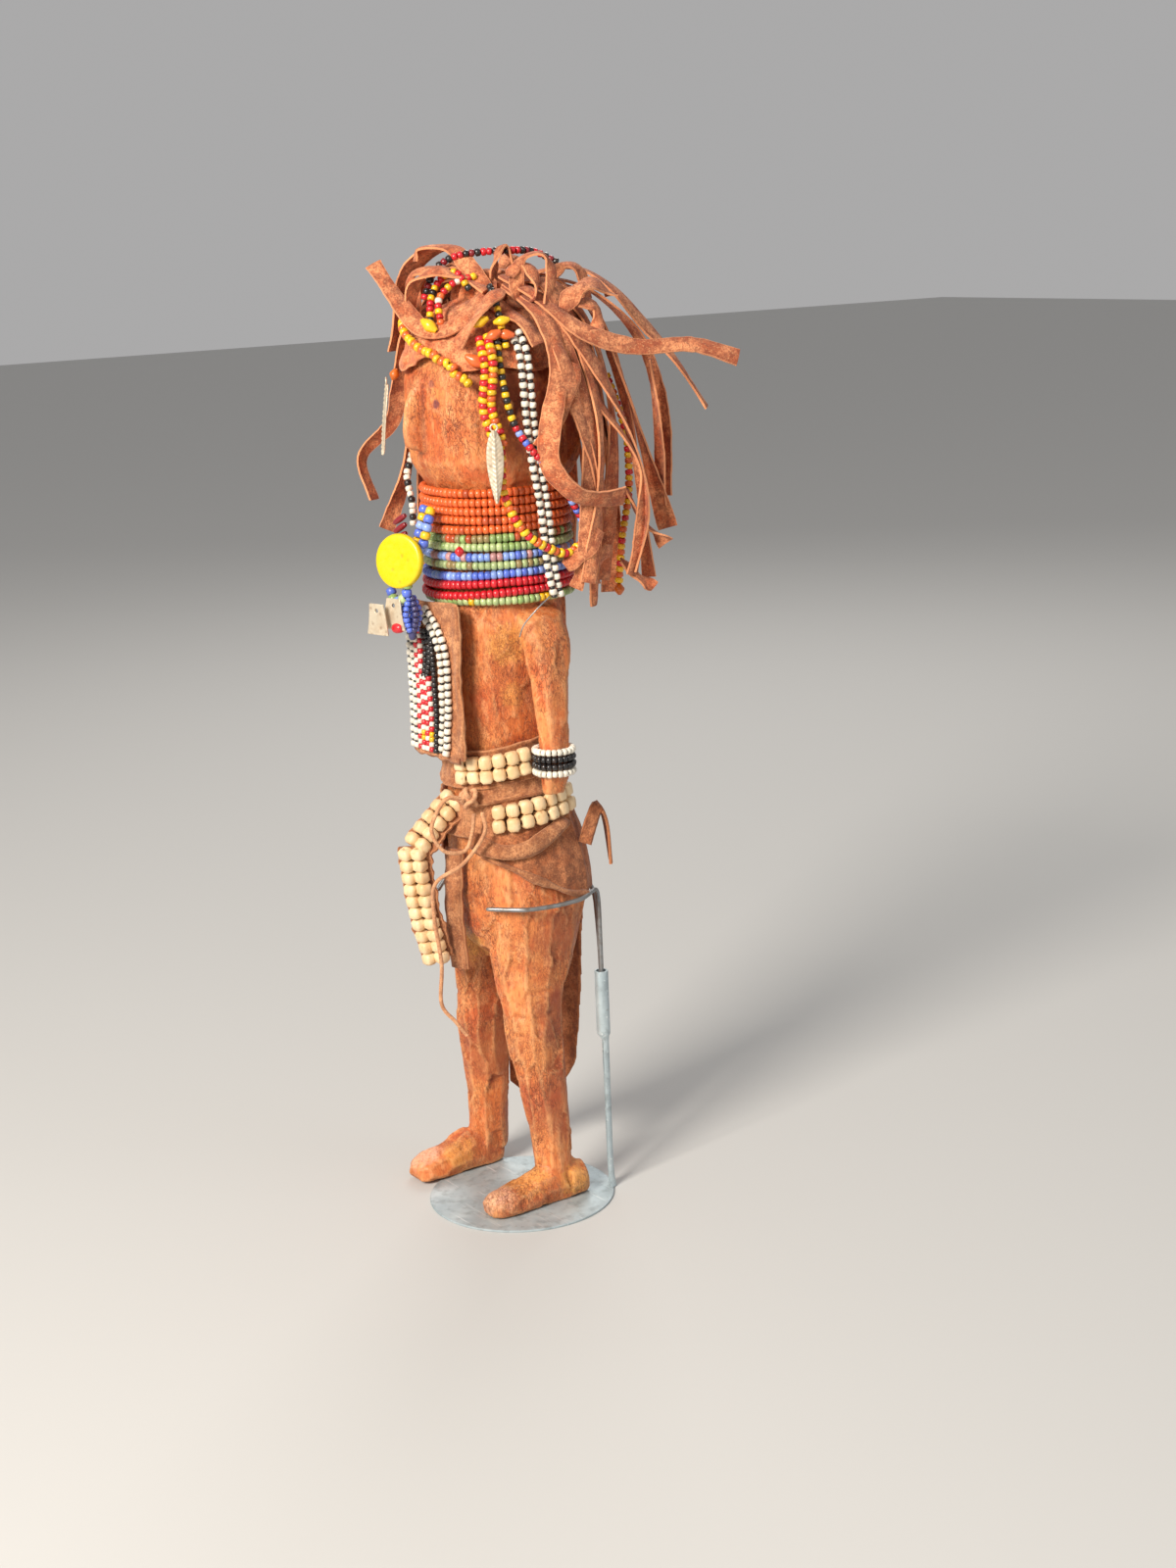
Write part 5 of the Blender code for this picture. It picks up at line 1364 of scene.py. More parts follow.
# Piece, node, slot, diameter, length, tilt, size variation, gap, then a rule and a route for each
SINGLE_STRINGS = (
    ("blue_red_string", ["strand_blue_red"], "blue_glass", 2.9, 2.1, 0.25, 0.1, STRING_GAP,
     [(blue_red_colours, ((60, 33, 346), (62, 37, 333), (65, 38, 322), (69, 38, 314),
                          (78, 42, 304), (90, 42, 295), (101, 41, 284), (112, 41, 273)))]),
    ("white_black_string_far", ["strand_white_black_far"], "white_glass", 2.8, 2.1, 0.2, 0.07,
     STRING_GAP, [(cycle(WHITE, WHITE, BLACK),
                   ((-46, 34, 302), (-42, 36, 294), (-36, 34, 284), (-35, 34, 276)))]),
    ("forehead_string", ["strand_forehead"], "yellow_glass", 3.5, 2.2, 0.25, 0.07, 2.6,
     [(cycle(YELLOW, ORANGE, YELLOW, YELLOW, ORANGE),
       ((-20, 34, 356), (-6, 37, 351), (8, 38, 346), (22, 39, 342), (34, 39, 338), (43, 39, 332)))]),
    ("tail_string", ["strand_tail"], "yellow_glass", 3.1, 2.2, 0.2, 0.07, STRING_GAP,
     [(cycle(YELLOW, RED, YELLOW, ORANGE),
       ((146, 44, 330), (146, 48, 318), (146, 51, 305), (146, 51, 285), (146, 48, 268),
        (146, 46, 250)))]),
    ("crown_string", ["strand_crown_loop"], "dark_red_glass", 2.9, 2.1, 0.25, 0.07, STRING_GAP,
     [(cycle(RED, BLACK, MAROON, BLACK, RED),
       ((-8, 27, 363), (-8, 22, 373), (10, 14, 378), (100, 12, 379), (142, 18, 378),
        (146, 26, 374)))]),
    ("crown_small_strings", (), "yellow_glass", 2.8, 2.1, 0.25, 0.07, STRING_GAP,
     [(cycle(YELLOW, BLACK, YELLOW, RED, RED),
       ((8, 30, 352), (2, 27, 362), (0, 22, 369), (18, 20, 372), (34, 20, 366))),
      (cycle(RED, WHITE, ORANGE, RED, YELLOW),
       ((20, 31, 354), (14, 28, 362), (20, 22, 368), (36, 16, 370))),
      (cycle(BLACK, BLACK, YELLOW),
       ((58, 20, 366), (62, 27, 360), (64, 31, 352), (66, 33, 345)))]),
)


def build_strings(surface):
    """The strings of beads that fall from the crown over the face and neck."""
    yellow_red = string_line(YELLOW_RED_ROUTE, surface, STRING_GAP)
    upper = yellow_red[: int(len(yellow_red) * 0.4)]
    threaded("yellow_red_string",
             [beside(upper, -1.5) + yellow_red[len(upper):], beside(upper, 1.6)],
             [cycle(YELLOW, RED, YELLOW, ORANGE), cycle(RED, YELLOW, RED, YELLOW)], 3.5, 2.1,
             ["strand_yellow_red"], "yellow_glass", tilt=0.25, variation=0.1)
    white_black = string_line(WHITE_BLACK_ROUTE, surface, STRING_GAP)
    threaded("white_black_strings", [beside(white_black, -1.5), beside(white_black, 1.5)[1:]],
             [cycle(WHITE, BLACK)] * 2, 3.0, 2.3, ["strand_white_black"],
             "white_glass", tilt=0.2, variation=0.06, odd=(0.78, 0.46))
    for name, replaced, slot, diameter, length, tilt, variation, gap, strings in SINGLE_STRINGS:
        threaded(name, [string_line(route, surface, gap) for _, route in strings],
                 [rule for rule, _ in strings], diameter, length, replaced, slot, tilt=tilt,
                 variation=variation)


def lone_beads(name, beads, shape, replaced=(), slot=None):
    """Single beads: centre, direction, diameter, length and colour of each."""
    template = shape.data
    points, faces, colours = [], [], []
    for centre, way, diameter, length, colour in beads:
        first = len(points)
        turn = way.to_track_quat("Z", "X").to_matrix()
        for vertex in template.vertices:
            local = Vector((vertex.co.x * diameter, vertex.co.y * diameter, vertex.co.z * length))
            points.append(centre + turn @ (local * MM))
            colours.append((*colour, 1.0))
        faces += [tuple(first + i for i in p.vertices) for p in template.polygons]
    mesh = make_mesh(name, points, faces)
    layer = mesh.attributes.new("bead_colour", "FLOAT_COLOR", "POINT")
    layer.data.foreach_set("color", [c for colour in colours for c in colour])
    mesh = subdivided(mesh, 1)
    return show(name, mesh, GLASS, replaced, slot)


OVAL_BEAD = bead_shape("oval_bead", 0.1, 0.36, 12)


def build_ovals(surface):
    """The large oval beads over the forehead, a red one in the neck rows, and end beads."""
    def resting(bearing, reach, height, clear):
        return held_clear([spot(bearing, reach, height)], surface, clear * MM)[0]

    beads = [
        (resting(47, 37, 340, 2.4), Vector((0.6, 0.8, -0.55)), 5.0, 8.5, ORANGE),
        (resting(58, 35, 349, 2.2), Vector((0.6, 0.8, 0.5)), 4.2, 7.0, ORANGE),
        (resting(66, 34, 349, 2.2), Vector((0.6, 0.8, -0.1)), 4.2, 7.0, ORANGE),
        (resting(16, 35, 353, 2.4), Vector((0.8, 0.4, -0.6)), 5.0, 8.0, YELLOW),
        (resting(50, 34, 354, 2.2), Vector((0.6, 0.8, 0.4)), 4.6, 7.5, YELLOW),
        (resting(64, 33, 354, 2.0), Vector((0.6, 0.8, 0.2)), 4.0, 6.5, YELLOW),
        (spot(146, 46, 246.5), Vector((0.0, 0.0, 1.0)), 4.6, 4.6, AMBER),
        (resting(-29, 38, 334, 2.0), Vector((0.3, 0.2, 1.0)), 4.2, 4.6, AMBER),
        (resting(36, 44, 269.8, 2.6), Vector((0.75, 0.65, 0.0)), 4.4, 3.4, RED),
    ]
    lone_beads("oval_beads", beads, OVAL_BEAD, (), "yellow_glass")


# Metal and the front ornaments

def build_leaf(name, node, tip_tilt, lean):
    """A thin leaf with a raised midrib and slanting veins, on a small ring."""
    low, high, centre = node_box(node)
    way = away_from_axis(centre)
    across = Vector((0, 0, 1)).cross(way).normalized()
    length, half = (high.z - low.z) * 0.97, 3.3 * MM
    last, columns = 64, 18
    rows = [[] for _ in range(last + 1)]
    for row, made in enumerate(rows):
        t = row / last
        width = half * (math.sin(math.pi * t**0.8) ** 0.8) * (1.0 - 0.25 * t) + 0.25 * MM
        middle = Vector((centre.x, centre.y, high.z - length * t - 0.4 * MM))
        for column in range(columns + 1):
            s = 2 * column / columns - 1
            rib = 0.55 * MM * math.exp(-((s * width / (0.45 * MM)) ** 2))
            vein = 0.16 * MM * math.sin((t * 16 + abs(s) * 1.5) * math.pi * 2) * (1 - abs(s)) ** 0.3
            dish = -0.5 * MM * s * s + tip_tilt * MM * (t - 0.5) ** 2
            made.append(middle + across * s * width + way * (rib + vein + dish + lean * MM * t))
    leaf = settle(loft(name, rows, closed=False), kind="SOLIDIFY", thickness=0.45 * MM, offset=0.0)
    ring = [Vector((centre.x, centre.y, high.z + 0.6 * MM)) + across * 1.3 * MM * math.sin(a)
            + Vector((0, 0, 1.3 * MM * math.cos(a))) for a in np.linspace(0, 2 * math.pi, 25)]
    show(name, joined(name, [leaf, tube_mesh("ring", ring, 0.35 * MM, 8)]), PALE_METAL, [node],
         "pale_metal")


# The way the front ornaments face
FACING = Vector((0.40, -0.90, 0.12)).normalized()
ACROSS = Vector((0, 0, 1)).cross(FACING).normalized()


def build_button():
    """The yellow disc: softly rounded, with a shallow dish."""
    middle = node_box("button_disc")[2]
    up = FACING.cross(ACROSS).normalized()
    half, sides = 1.7, 96
    profile = [(0.05, half - 0.25), (5.0, half - 0.2), (8.2, half), (9.6, half - 0.12)]
    for i in range(9):
        angle = math.pi / 2 - math.pi * i / 8
        profile.append((9.7 + 0.9 * math.cos(angle), (half - 0.15) * math.sin(angle)))
    profile += [(9.6, 0.1 - half), (5.0, 0.0 - half), (0.05, 0.0 - half)]
    rows = []
    for r, out in profile:
        turns = [2 * math.pi * i / sides for i in range(sides)]
        rows.append([middle + FACING * out * MM + (ACROSS * math.cos(a) + up * math.sin(a)) * r
                     * (1 + 0.006 * math.sin(3 * a + 1)) * MM for a in turns])
    show("yellow_disc", loft("yellow_disc", rows, caps=(0, len(rows) - 1)), PLASTIC,
         ["button_disc"], "yellow_button")
    return middle


def build_plate(name, node, lean):
    """A small trapezoid plate with a hole, thin and a little bent."""
    centre = node_box(node)[2]
    corners = [Vector(c) for c in ((-3.5, 6.2), (-5.2, -5.8), (5.1, -6.2), (3.4, 6.0))]
    outline = [a.lerp(b, j / 12) for a, b in zip(corners, corners[1:] + corners[:1])
               for j in range(12)]
    hole = Vector((0.0, 3.4))
    inner = [hole + (p - hole).normalized() * 0.8 for p in outline]
    rows = []
    for t in (0.0, 0.3, 0.6, 0.85, 1.0):
        rows.append([])
        for x, z in (a.lerp(b, t) for a, b in zip(inner, outline)):
            bend = 0.5 * math.sin(x * 0.35 + lean) + lean * 0.02 * z * z
            rows[-1].append(centre + (ACROSS * x + Vector((0, 0, z)) + FACING * bend) * MM)
    mesh = settle(loft(name, rows), kind="SOLIDIFY", thickness=0.8 * MM, offset=0.0)
    mesh = settle(mesh, kind="BEVEL", width=0.18 * MM, segments=2)
    mesh.shade_smooth()
    show(name, mesh, PALE_METAL, [node], "pale_metal")


def build_front_strings(disc):
    """Beads above and below the disc, the small bundle, and the string round the right side."""
    behind = disc - FACING * 3.6 * MM
    up_left = [spot(4, 36, 284), spot(4, 38.5, 276), spot(1, 39.5, 270), behind + mm(1.5, 0, 4)]
    first = even_line(smooth_curve(up_left, 8), 1.0 * MM)
    second = [p + mm(3.4, 0.6, -0.6) for p in first]
    below = [behind + mm(-6, -1, -6), disc + mm(-8.5, 0.5, -12), disc + mm(-5, 0, -16),
             disc + mm(1, 1, -14), disc + mm(3, 1, -9)]
    under = even_line(smooth_curve(below, 8), 1.0 * MM)
    threaded("disc_strings", [first, second, under],
             [cycle(BLUE, YELLOW, SKY), cycle(SKY, YELLOW, BLUE), cycle(BLUE, GREEN, SKY, PALE_GREEN)],
             3.9, 3.0, ["disc_strands"], "blue_glass", tilt=0.25)
    low, high, centre = node_box("bundle_beads")
    strings = []
    for i in range(5):
        angle = 2 * math.pi * i / 5
        side = mm(math.cos(angle), math.sin(angle), 0.0) * 1.9
        top = Vector((centre.x, centre.y, high.z)) + side * 0.6
        foot = Vector((centre.x, centre.y, low.z)) + side * 0.8
        strings.append(even_line(smooth_curve([top, (top + foot) / 2 + side, foot], 6), 1.0 * MM))
    threaded("bundle_string", strings, [plain(NAVY)] + [plain(BLUE)] * 4, 2.6, 1.9,
             ["bundle_beads"], "dark_red_glass", tilt=0.2)
    tubes = [(spot(-9, 42, 280 - 3.4 * i), Vector((0.9, 0.3, 0.55)), 2.6, 7.0, MAROON)
             for i in range(3)]
    tubes += [(disc + mm(-1.5, -1.5, -26), Vector((1, 0.3, 0.1)), 4.4, 5.0, RED),
              (Vector((centre.x, centre.y, low.z - 2.0 * MM)), Vector((0.1, 0, 1)), 3.4, 4.5, NAVY)]
    lone_beads("front_single_beads", tubes, BARREL_BEAD, (), "dark_red_glass")


# The bib

def tipped(rule):
    """A rule whose string has a few yellow beads near both ends."""
    def colours(i, count, picked):
        if i in (2, 3) or count - i in (3, 4):
            return YELLOW
        return rule(i, count, picked)
    return colours


def build_bib():
    """A stiff leather panel with a turned side, and strings of beads sewn down it."""
    low, high, middle = node_box("bib_leather")
    columns, last = 26, 40
    rows = [[] for _ in range(last + 1)]
    for row, made in enumerate(rows):
        t = row / last
        for column in range(columns + 1):
            s = column / columns
            x = low.x + (high.x - low.x) * s * 0.95
            x += (0.8 * math.sin(t * 9 + 1) * (s > 0.9) - 0.5 * math.sin(t * 7)) * MM * abs(2 * s - 1)
            z = high.z - (high.z - low.z) * (t * (0.985 - 0.02 * s) + 0.01 * math.sin(s * 5))
            curve = 1.9 * (abs(s - 0.5) * 2) ** 3 - 1.5 * ramp(s, 0.88, 1.0) - 1.2 * ramp(t, 0.95, 1.0)
            ripple = 0.5 * noise.noise(Vector((s * 3, t * 4, 3))) + 0.25 * math.sin(t * 20) * s**4
            made.append(Vector((x, middle.y + (curve + ripple) * MM, z)))
    panel = loft("bib_panel", rows, closed=False)
    panel = subdivided(settle(panel, kind="SOLIDIFY", thickness=1.2 * MM, offset=0.0), 1)
    piece = show("bib_panel", panel, BELT_LEATHER, ["bib_leather"], "ochre_leather")
    face = tree_of([panel])

    def down(x_top, x_low, z_top, z_low, bulge):
        line = []
        for i in range(40):
            t = i / 39
            x = x_low - (x_low - x_top) * max(0.0, 1 - t / 0.3) ** 2 + bulge * math.sin(math.pi * t)
            start = Vector((middle.x + x * MM, middle.y - 20 * MM, z_top + (z_low - z_top) * t))
            hit = face.ray_cast(start, Vector((0, 1, 0)))[0]
            line.append((hit or start + mm(0, 20, 0)) - mm(0, 1.4, 0))
        return line

    top, foot = high.z - 3.0 * MM, low.z + 4.0 * MM
    edge, inner = cycle(WHITE, BLACK), cycle(WHITE, RED)
    sides = [(-16.4, -16.4, top - 7 * MM, foot, 0.0), (-13.0, -13.0, top - 6 * MM, foot, 0.2),
             (-4.5, 5.4, top - 2 * MM, foot, 2.4), (-1.0, 8.8, top, foot, 2.6)]
    threaded("bib_strings", [down(*place) for place in sides], [edge] * 4, 2.9, 2.25,
             ["bib_beads"], "white_glass", tilt=0.16, variation=0.09, odd=(0.66, 0.3))
    waist, dark = middle.z + 1 * MM, (top - 9 * MM, middle.z + 2 * MM)
    inside = [(inner, -9.8, -9.8, top - 5 * MM, foot, 0.3),
              (tipped(inner), -6.9, -6.9, top - 3 * MM, foot, 0.5),
              (plain(BLACK), -4.4, -4.4, *dark, 1.6), (plain(BLACK), -2.2, -2.0, *dark, 2.2),
              (inner, -4.0, -4.0, waist, foot, 0.0), (tipped(inner), -1.1, -1.1, waist, foot, 0.0),
              (plain(BLACK), 1.4, 2.0, top - 9 * MM, foot, 0.8)]
    threaded("bib_inner_strings", [down(*place) for _, *place in inside],
             [rule for rule, *_ in inside], 2.5, 1.95, (), "red_glass", tilt=0.16, variation=0.09)
    build_bib_hem(low, high, middle)


def build_bib_hem(low, high, middle):
    """The turned side and foot of the bib: a narrow folded strip."""
    edge = [Vector((low.x + (high.x - low.x) * 0.925 + 0.5 * MM * math.sin(t * 8),
                    middle.y + (0.2 + 0.3 * math.sin(t * 11)) * MM,
                    high.z - 0.5 * MM - (high.z - low.z - 2.5 * MM) * t))
            for t in (i / 29 for i in range(30))]
    foot = [Vector((high.x - (high.x - low.x) * (0.09 + 0.86 * i / 20),
                    middle.y - (0.4 + 0.3 * math.sin(i * 0.9)) * MM,
                    low.z + (1.9 + 0.4 * math.sin(i * 1.3)) * MM)) for i in range(21)]
    guides = [strip_along(even_line(line, 1.0 * MM), lambda here: Vector((0.0, -1.0, 0.0)),
                          lambda i: 3.1 + 0.5 * math.sin(i * 0.7)) for line in (edge, foot)]
    cut_strips("bib_hem", guides, BELT_LEATHER, 1.0, 0.5, 0.5, 260.0, 10)


# The waist

# How wide the belts' leather is, and how much higher each lies at the back, in mm
BAND_WIDTH = 15.8 * MM
BAND_RISE = {"belt_upper_leather": 9.0, "belt_lower_leather": 7.0}
# Each belt's beads: stem, middle height and rise at the back in mm, first and last bearing
BELT_LOOKS = (
    ("belt_upper", 181.0, 10.0, 19, 70),
    ("belt_lower", 161.0, 7.0, 47, 118),
)
BELT_ROW_OFFSET = 2.75
BELT_BEAD_CLEAR = 4.7 * MM


def ring_band(name, node, crumple, thickness, seed):
    """A leather band round the waist, creased, with a ragged edge, in a node's place."""
    columns, last = 150, 10
    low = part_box(node)[0]
    rows = [[] for _ in range(last + 1)]
    for row, made in enumerate(rows):
        t = row / last
        for column in range(columns):
            degrees = 360 * column / columns
            front = 0.5 - 0.5 * math.cos(math.radians(degrees))
            way = level_way(degrees)
            z = low.z + 6.5 * MM + BAND_RISE[node] * MM * front + (t - 0.5) * BAND_WIDTH
            z += 0.7 * MM * noise.noise(Vector((way.x * 4, way.y * 4, seed + 5 * t))) * abs(2 * t - 1)
            fold = noise.noise(Vector((way.x * 6, way.y * 6, seed + t * 2.6)))
            crease = abs(noise.noise(Vector((way.x * 3, way.y * 3, seed + t * 6))))
            rim = 2.0 * abs(2 * t - 1) ** 5
            out = 0.7 + thickness / 2 + rim + crumple * max(0.0, 0.5 * fold + crease)
            made.append(skin_along(way, z) + way * out * MM)
    made = settle(loft(name, rows), kind="SOLIDIFY", thickness=thickness * MM, offset=0.0)
    return subdivided(made, 1)


def build_thread():
    """The thin grey thread that shows at the near shoulder."""
    points = [spot(*p) for p in ((85, 37.5, 250), (77, 37.5, 246), (69, 35.8, 240), (66, 34.6, 235))]
    line = held_clear(smooth_curve(points, 8), BODY, 0.45 * MM)
    show("shoulder_thread", tube_mesh("shoulder_thread", line, 0.28 * MM, 6), STEEL)


def build_crossing_strap():
    """The end of the belt's leather that crosses between the two rows of beads."""
    line = [skin_along(level_way(14 + 78 * t), SOLE + (171.5 + 2.5 * t) * MM, 2.6 * MM)
            for t in (i / 39 for i in range(40))]
    guide = strip_along(even_line(line, 1.2 * MM), away_from_axis,
                        lambda i: 8.0 + 0.9 * math.sin(i * 0.23),
                        lambda i: 0.3 * math.sin(i * 0.31) + 0.15, 0.2)
    cut_strips("crossing_strap", [guide], BELT_LEATHER, 1.1, -1.1, 0.8, 260.0, 16)


def build_belts():
    """The two belts: creased leather, and two rows of large beads on each."""
    for stem, middle, tilt, first, last in BELT_LOOKS:
        node = stem + "_leather"
        band = ring_band(stem + "_band", node, 1.1, 1.1, len(stem))
        show(stem + "_band", band, BELT_LEATHER, [node], "ochre_leather")
        if stem == "belt_lower":
            build_crossing_strap()
        lines = []
        for side in (BELT_ROW_OFFSET, -BELT_ROW_OFFSET):
            lines.append([])
            for degrees in (first + (last - first) * i / 59 for i in range(60)):
                rise = tilt * (0.5 - 0.5 * math.cos(math.radians(degrees)))
                z = SOLE + (middle + rise + side) * MM
                lines[-1].append(skin_along(level_way(degrees), z, BELT_BEAD_CLEAR))
        threaded(stem + "_cream_beads", lines, [plain(CREAM)] * 2, 5.4, 5.1, [stem + "_beads"],
                 "cream_bead", finish=BONE, shape=SQUARE_BEAD, tilt=0.08, variation=0.05,
                 thread=0.5, spin=0.12)


def build_apron():
    """The beaded strap that juts out from the knot and then hangs, and the strap under it."""
    start = spot(-6, 24.5, 166)
    elbow = start + mm(-2.6, -20.6, -19)
    tip = elbow + mm(1.4, 8.4, -44)
    reach = start.lerp(elbow, 0.86)
    jutting = [start, start.lerp(reach, 0.5) + mm(0, 0, 1.2), reach]
    hanging = [elbow + mm(0.4, 0.4, 3.4), elbow.lerp(tip, 0.5) + mm(-0.8, -0.4, 0), tip]
    guides, strings = [], []
    for corners, forward, breadth in ((jutting, Vector((0.42, -0.82, 0.38)), 13.6),
                                      (hanging, Vector((0.60, -0.78, 0.1)), 13.0)):
        line, values = strip_along(
            even_line(smooth_curve(corners, 12), 1.0 * MM), lambda here: forward,
            lambda i: breadth + 0.7 * math.sin(i * 0.4) + 0.4 * math.sin(i * 1.3), tone=0.15)
        guides.append((line, values))
        for offset in (-2.7, 2.7):
            strings.append([here + side.normalized() * offset * MM + face * 3.1 * MM
                            for here, side, face in zip(line, values["side"], values["face"])][2:-1])
    cut_strips("apron_strap", guides, BELT_LEATHER, 1.3, -0.4, 0.9, 240.0, 18, ["apron_leather"],
               sharp=True)
    threaded("apron_cream_beads", strings, [plain(CREAM)] * 4, 5.2, 4.9, ["apron_beads"],
             "cream_bead", finish=BONE, shape=SQUARE_BEAD, tilt=0.12, variation=0.06, thread=0.5,
             spin=0.2)
    low, high, middle = node_box("apron_under_strap")
    under = [Vector((middle.x, low.y + 2.5 * MM, high.z - 1 * MM)),
             Vector((middle.x - 0.5 * MM, low.y + 1.2 * MM, middle.z)),
             Vector((middle.x, low.y + 2.5 * MM, low.z + 1 * MM))]
    guide = strip_along(even_line(smooth_curve(under, 10), 1.5 * MM),
                        lambda here: Vector((0.3, -1, 0)), lambda i: 8.6 + 0.5 * math.sin(i * 0.9))
    cut_strips("front_strap", [guide], BELT_LEATHER, 1.2, 0.7, 0.5, 200.0, 14,
               ["apron_under_strap"])


# The laces keep the routes of their solids: bearing, reach and height in mm
BOW_ROUTE = (
    (25, 38, 172), (21, 42, 173), (18, 45, 170), (16, 49, 161), (19, 45, 152), (26, 38, 151),
    (29, 35, 158), (30, 34, 165),
)
LACE_ROUTE = (
    (36, 34, 166), (38, 36, 158), (28, 42, 147), (12, 45, 138), (8, 44, 124), (7, 41, 103),
    (5, 41, 86), (10, 37, 78), (15, 34, 72),
)
LACE_DIAMETER = 1.6


def build_lace(name, node, points, steps):
    line = smooth_curve([spot(*p) for p in points], steps)
    data = bpy.data.curves.new(name, "CURVE")
    data.dimensions = "3D"
    data.bevel_depth = LACE_DIAMETER / 2 * MM
    data.bevel_resolution = 3
    data.use_fill_caps = True
    spline = data.splines.new("POLY")
    spline.points.add(len(line) - 1)
    for place, here in zip(spline.points, line):
        place.co = (*here, 1.0)
    data.materials.append(LACE_LEATHER)
    piece = added(name, data)
    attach(piece, "root")
    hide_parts(node)
    tuple(line[0])
    line_length(line)


def build_knot():
    """The knotted lump between the belts: turns of lace wound about each other."""
    centre = node_box("waist_knot")[2]
    turns = [centre + mm(math.cos(a) * (2.4 + 0.7 * math.cos(a * 2.5)), math.sin(a * 1.5) * 2.2,
                         math.sin(a) * (3.0 + 0.6 * math.sin(a * 2.5)))
             for a in (2 * math.pi * i / 30 for i in range(90))]
    blob = bmesh.new()
    bmesh.ops.create_icosphere(blob, subdivisions=3, radius=2.6 * MM)
    for vertex in blob.verts:
        vertex.co += vertex.co.normalized() * 0.7 * MM * noise.noise(vertex.co * 500)
        vertex.co += centre
    core = bpy.data.meshes.new("knot_core")
    blob.to_mesh(core)
    blob.free()
    shapes = [tube_mesh("knot_turns", turns, 0.95 * MM, 8), core]
    show("lace_knot", joined("lace_knot", shapes), LACE_LEATHER, ["waist_knot"], "ochre_leather")


def build_skirt():
    """The back apron: its own solid's surface, refined, with folds."""
    mesh = settle(welded("skirt"), kind="REMESH", mode="VOXEL", voxel_size=0.55 * MM)
    size = len(mesh.vertices)
    points = smoothed(read_points(mesh), read_edges(mesh), np.full(size, 0.6), 5)
    for i in range(size):
        here = Vector(points[i])
        degrees = math.degrees(bearing_of(here))
        hang = max(0.0, min(1.0, (120 * MM - here.z) / (40 * MM)))
        foot = max(0.0, min(1.0, (78 * MM - here.z) / (45 * MM)))
        points[i][2] += 12 * MM * foot * (max(0.0, 200 - degrees % 360) / 30) ** 2
        points[i][2] -= 8 * MM * foot * ramp(degrees % 360, 210, 236)
        fold = 0.5 * noise.noise(Vector((degrees / 22, here.z * 26, 2.0)))
        ripple = 0.9 * math.sin(math.radians(degrees * 9)) * hang
        crease = 0.9 * abs(noise.noise(Vector((degrees / 16, here.z * 60, 8.0))))
        points[i] += np.array(away_from_axis(here)) * (max(0.0, fold + crease) + ripple) * MM
    write_points(mesh, points)
    mesh.shade_smooth()
    return show("skirt_leather", mesh, SKIRT_LEATHER, ["skirt"], "ochre_leather")


SKIRT_TOP = ((25, 154.0), (36, 151.5), (50, 149.5), (64, 150.0), (78, 153.0), (92, 156.5),
             (106, 159.5))
SKIRT_HEM = ((25, 150.3), (36, 147.4), (48, 144.2), (60, 140.8), (72, 137.2), (84, 133.8),
             (96, 130.2), (108, 128.0), (118, 126.3))


def build_skirt_edges():
    """The rolled lip along the top of the skirt, and the pale cut edge along its front."""
    hips = tree_of([welded("skirt"), welded("doll_figure")])
    guides = []
    for corners, out, width in ((SKIRT_TOP, 2.4, 6.4), (SKIRT_HEM, 1.0, 2.6)):
        lying = []
        for here in smooth_curve([spot(degrees, 46, share) for degrees, share in corners], 10):
            hit = hips.ray_cast(here, -away_from_axis(here))[0]
            lying.append((hit or here) + away_from_axis(here) * out * MM)
        guides.append(strip_along(even_line(eased(lying, 2), 1.2 * MM),
                                  lambda here: away_from_axis(here, 12 * MM),
                                  lambda i: width + 0.8 * math.sin(i * 0.33),
                                  lambda i: 0.35 * math.sin(i * 0.21)))
    return cut_strips("skirt_edges", guides, BELT_LEATHER, 1.1, 0.7, 0.5, 200.0, 12)


def build_skirt_loop():
    """A strip that stands up out of the skirt beside the hip."""
    points = ((118, 32, 147), (124, 34, 156), (130, 36, 161), (136, 38, 153), (140, 39, 136))
    line = even_line(smooth_curve([spot(*p) for p in points], 10), 1.2 * MM)
    guide = strip_along(line, away_from_axis, lambda i: 5.4, lambda i: 0.9 - 0.8 * i / len(line),
                        rolled=True)
    cut_strips("skirt_loop_strip", [guide], SKIRT_LEATHER, 1.2, 0.4, 0.4, 200.0, 14,
               ["skirt_loop"])


BRACELET_PITCH = 2.85


def build_bracelets():
    """Four rows of beads round each wrist."""
    bead = 2.75
    for node in ("bracelet_left", "bracelet_right"):
        low, high, centre = node_box(node)
        half = (high - low - mm(bead, bead, bead)) / 2
        lines = [[Vector((centre.x + half.x * math.cos(a), centre.y + half.y * math.sin(a),
                          high.z - (bead * 0.46 + row * BRACELET_PITCH) * MM))
                  for a in np.linspace(0, 2 * math.pi, 61)] for row in range(4)]
        threaded(node + "_rows", lines, [plain(WHITE), plain(BLACK), plain(BLACK), plain(WHITE)],
                 bead, 1.95, [node], "white_glass", tilt=0.1)


# The stand

DISC_RADIUS = 38.0
DISC_THICKNESS = 0.9
POST_HEIGHT = 94.0
POST_TUBE_LENGTH = 27.0
POST_BEARING = 153.0


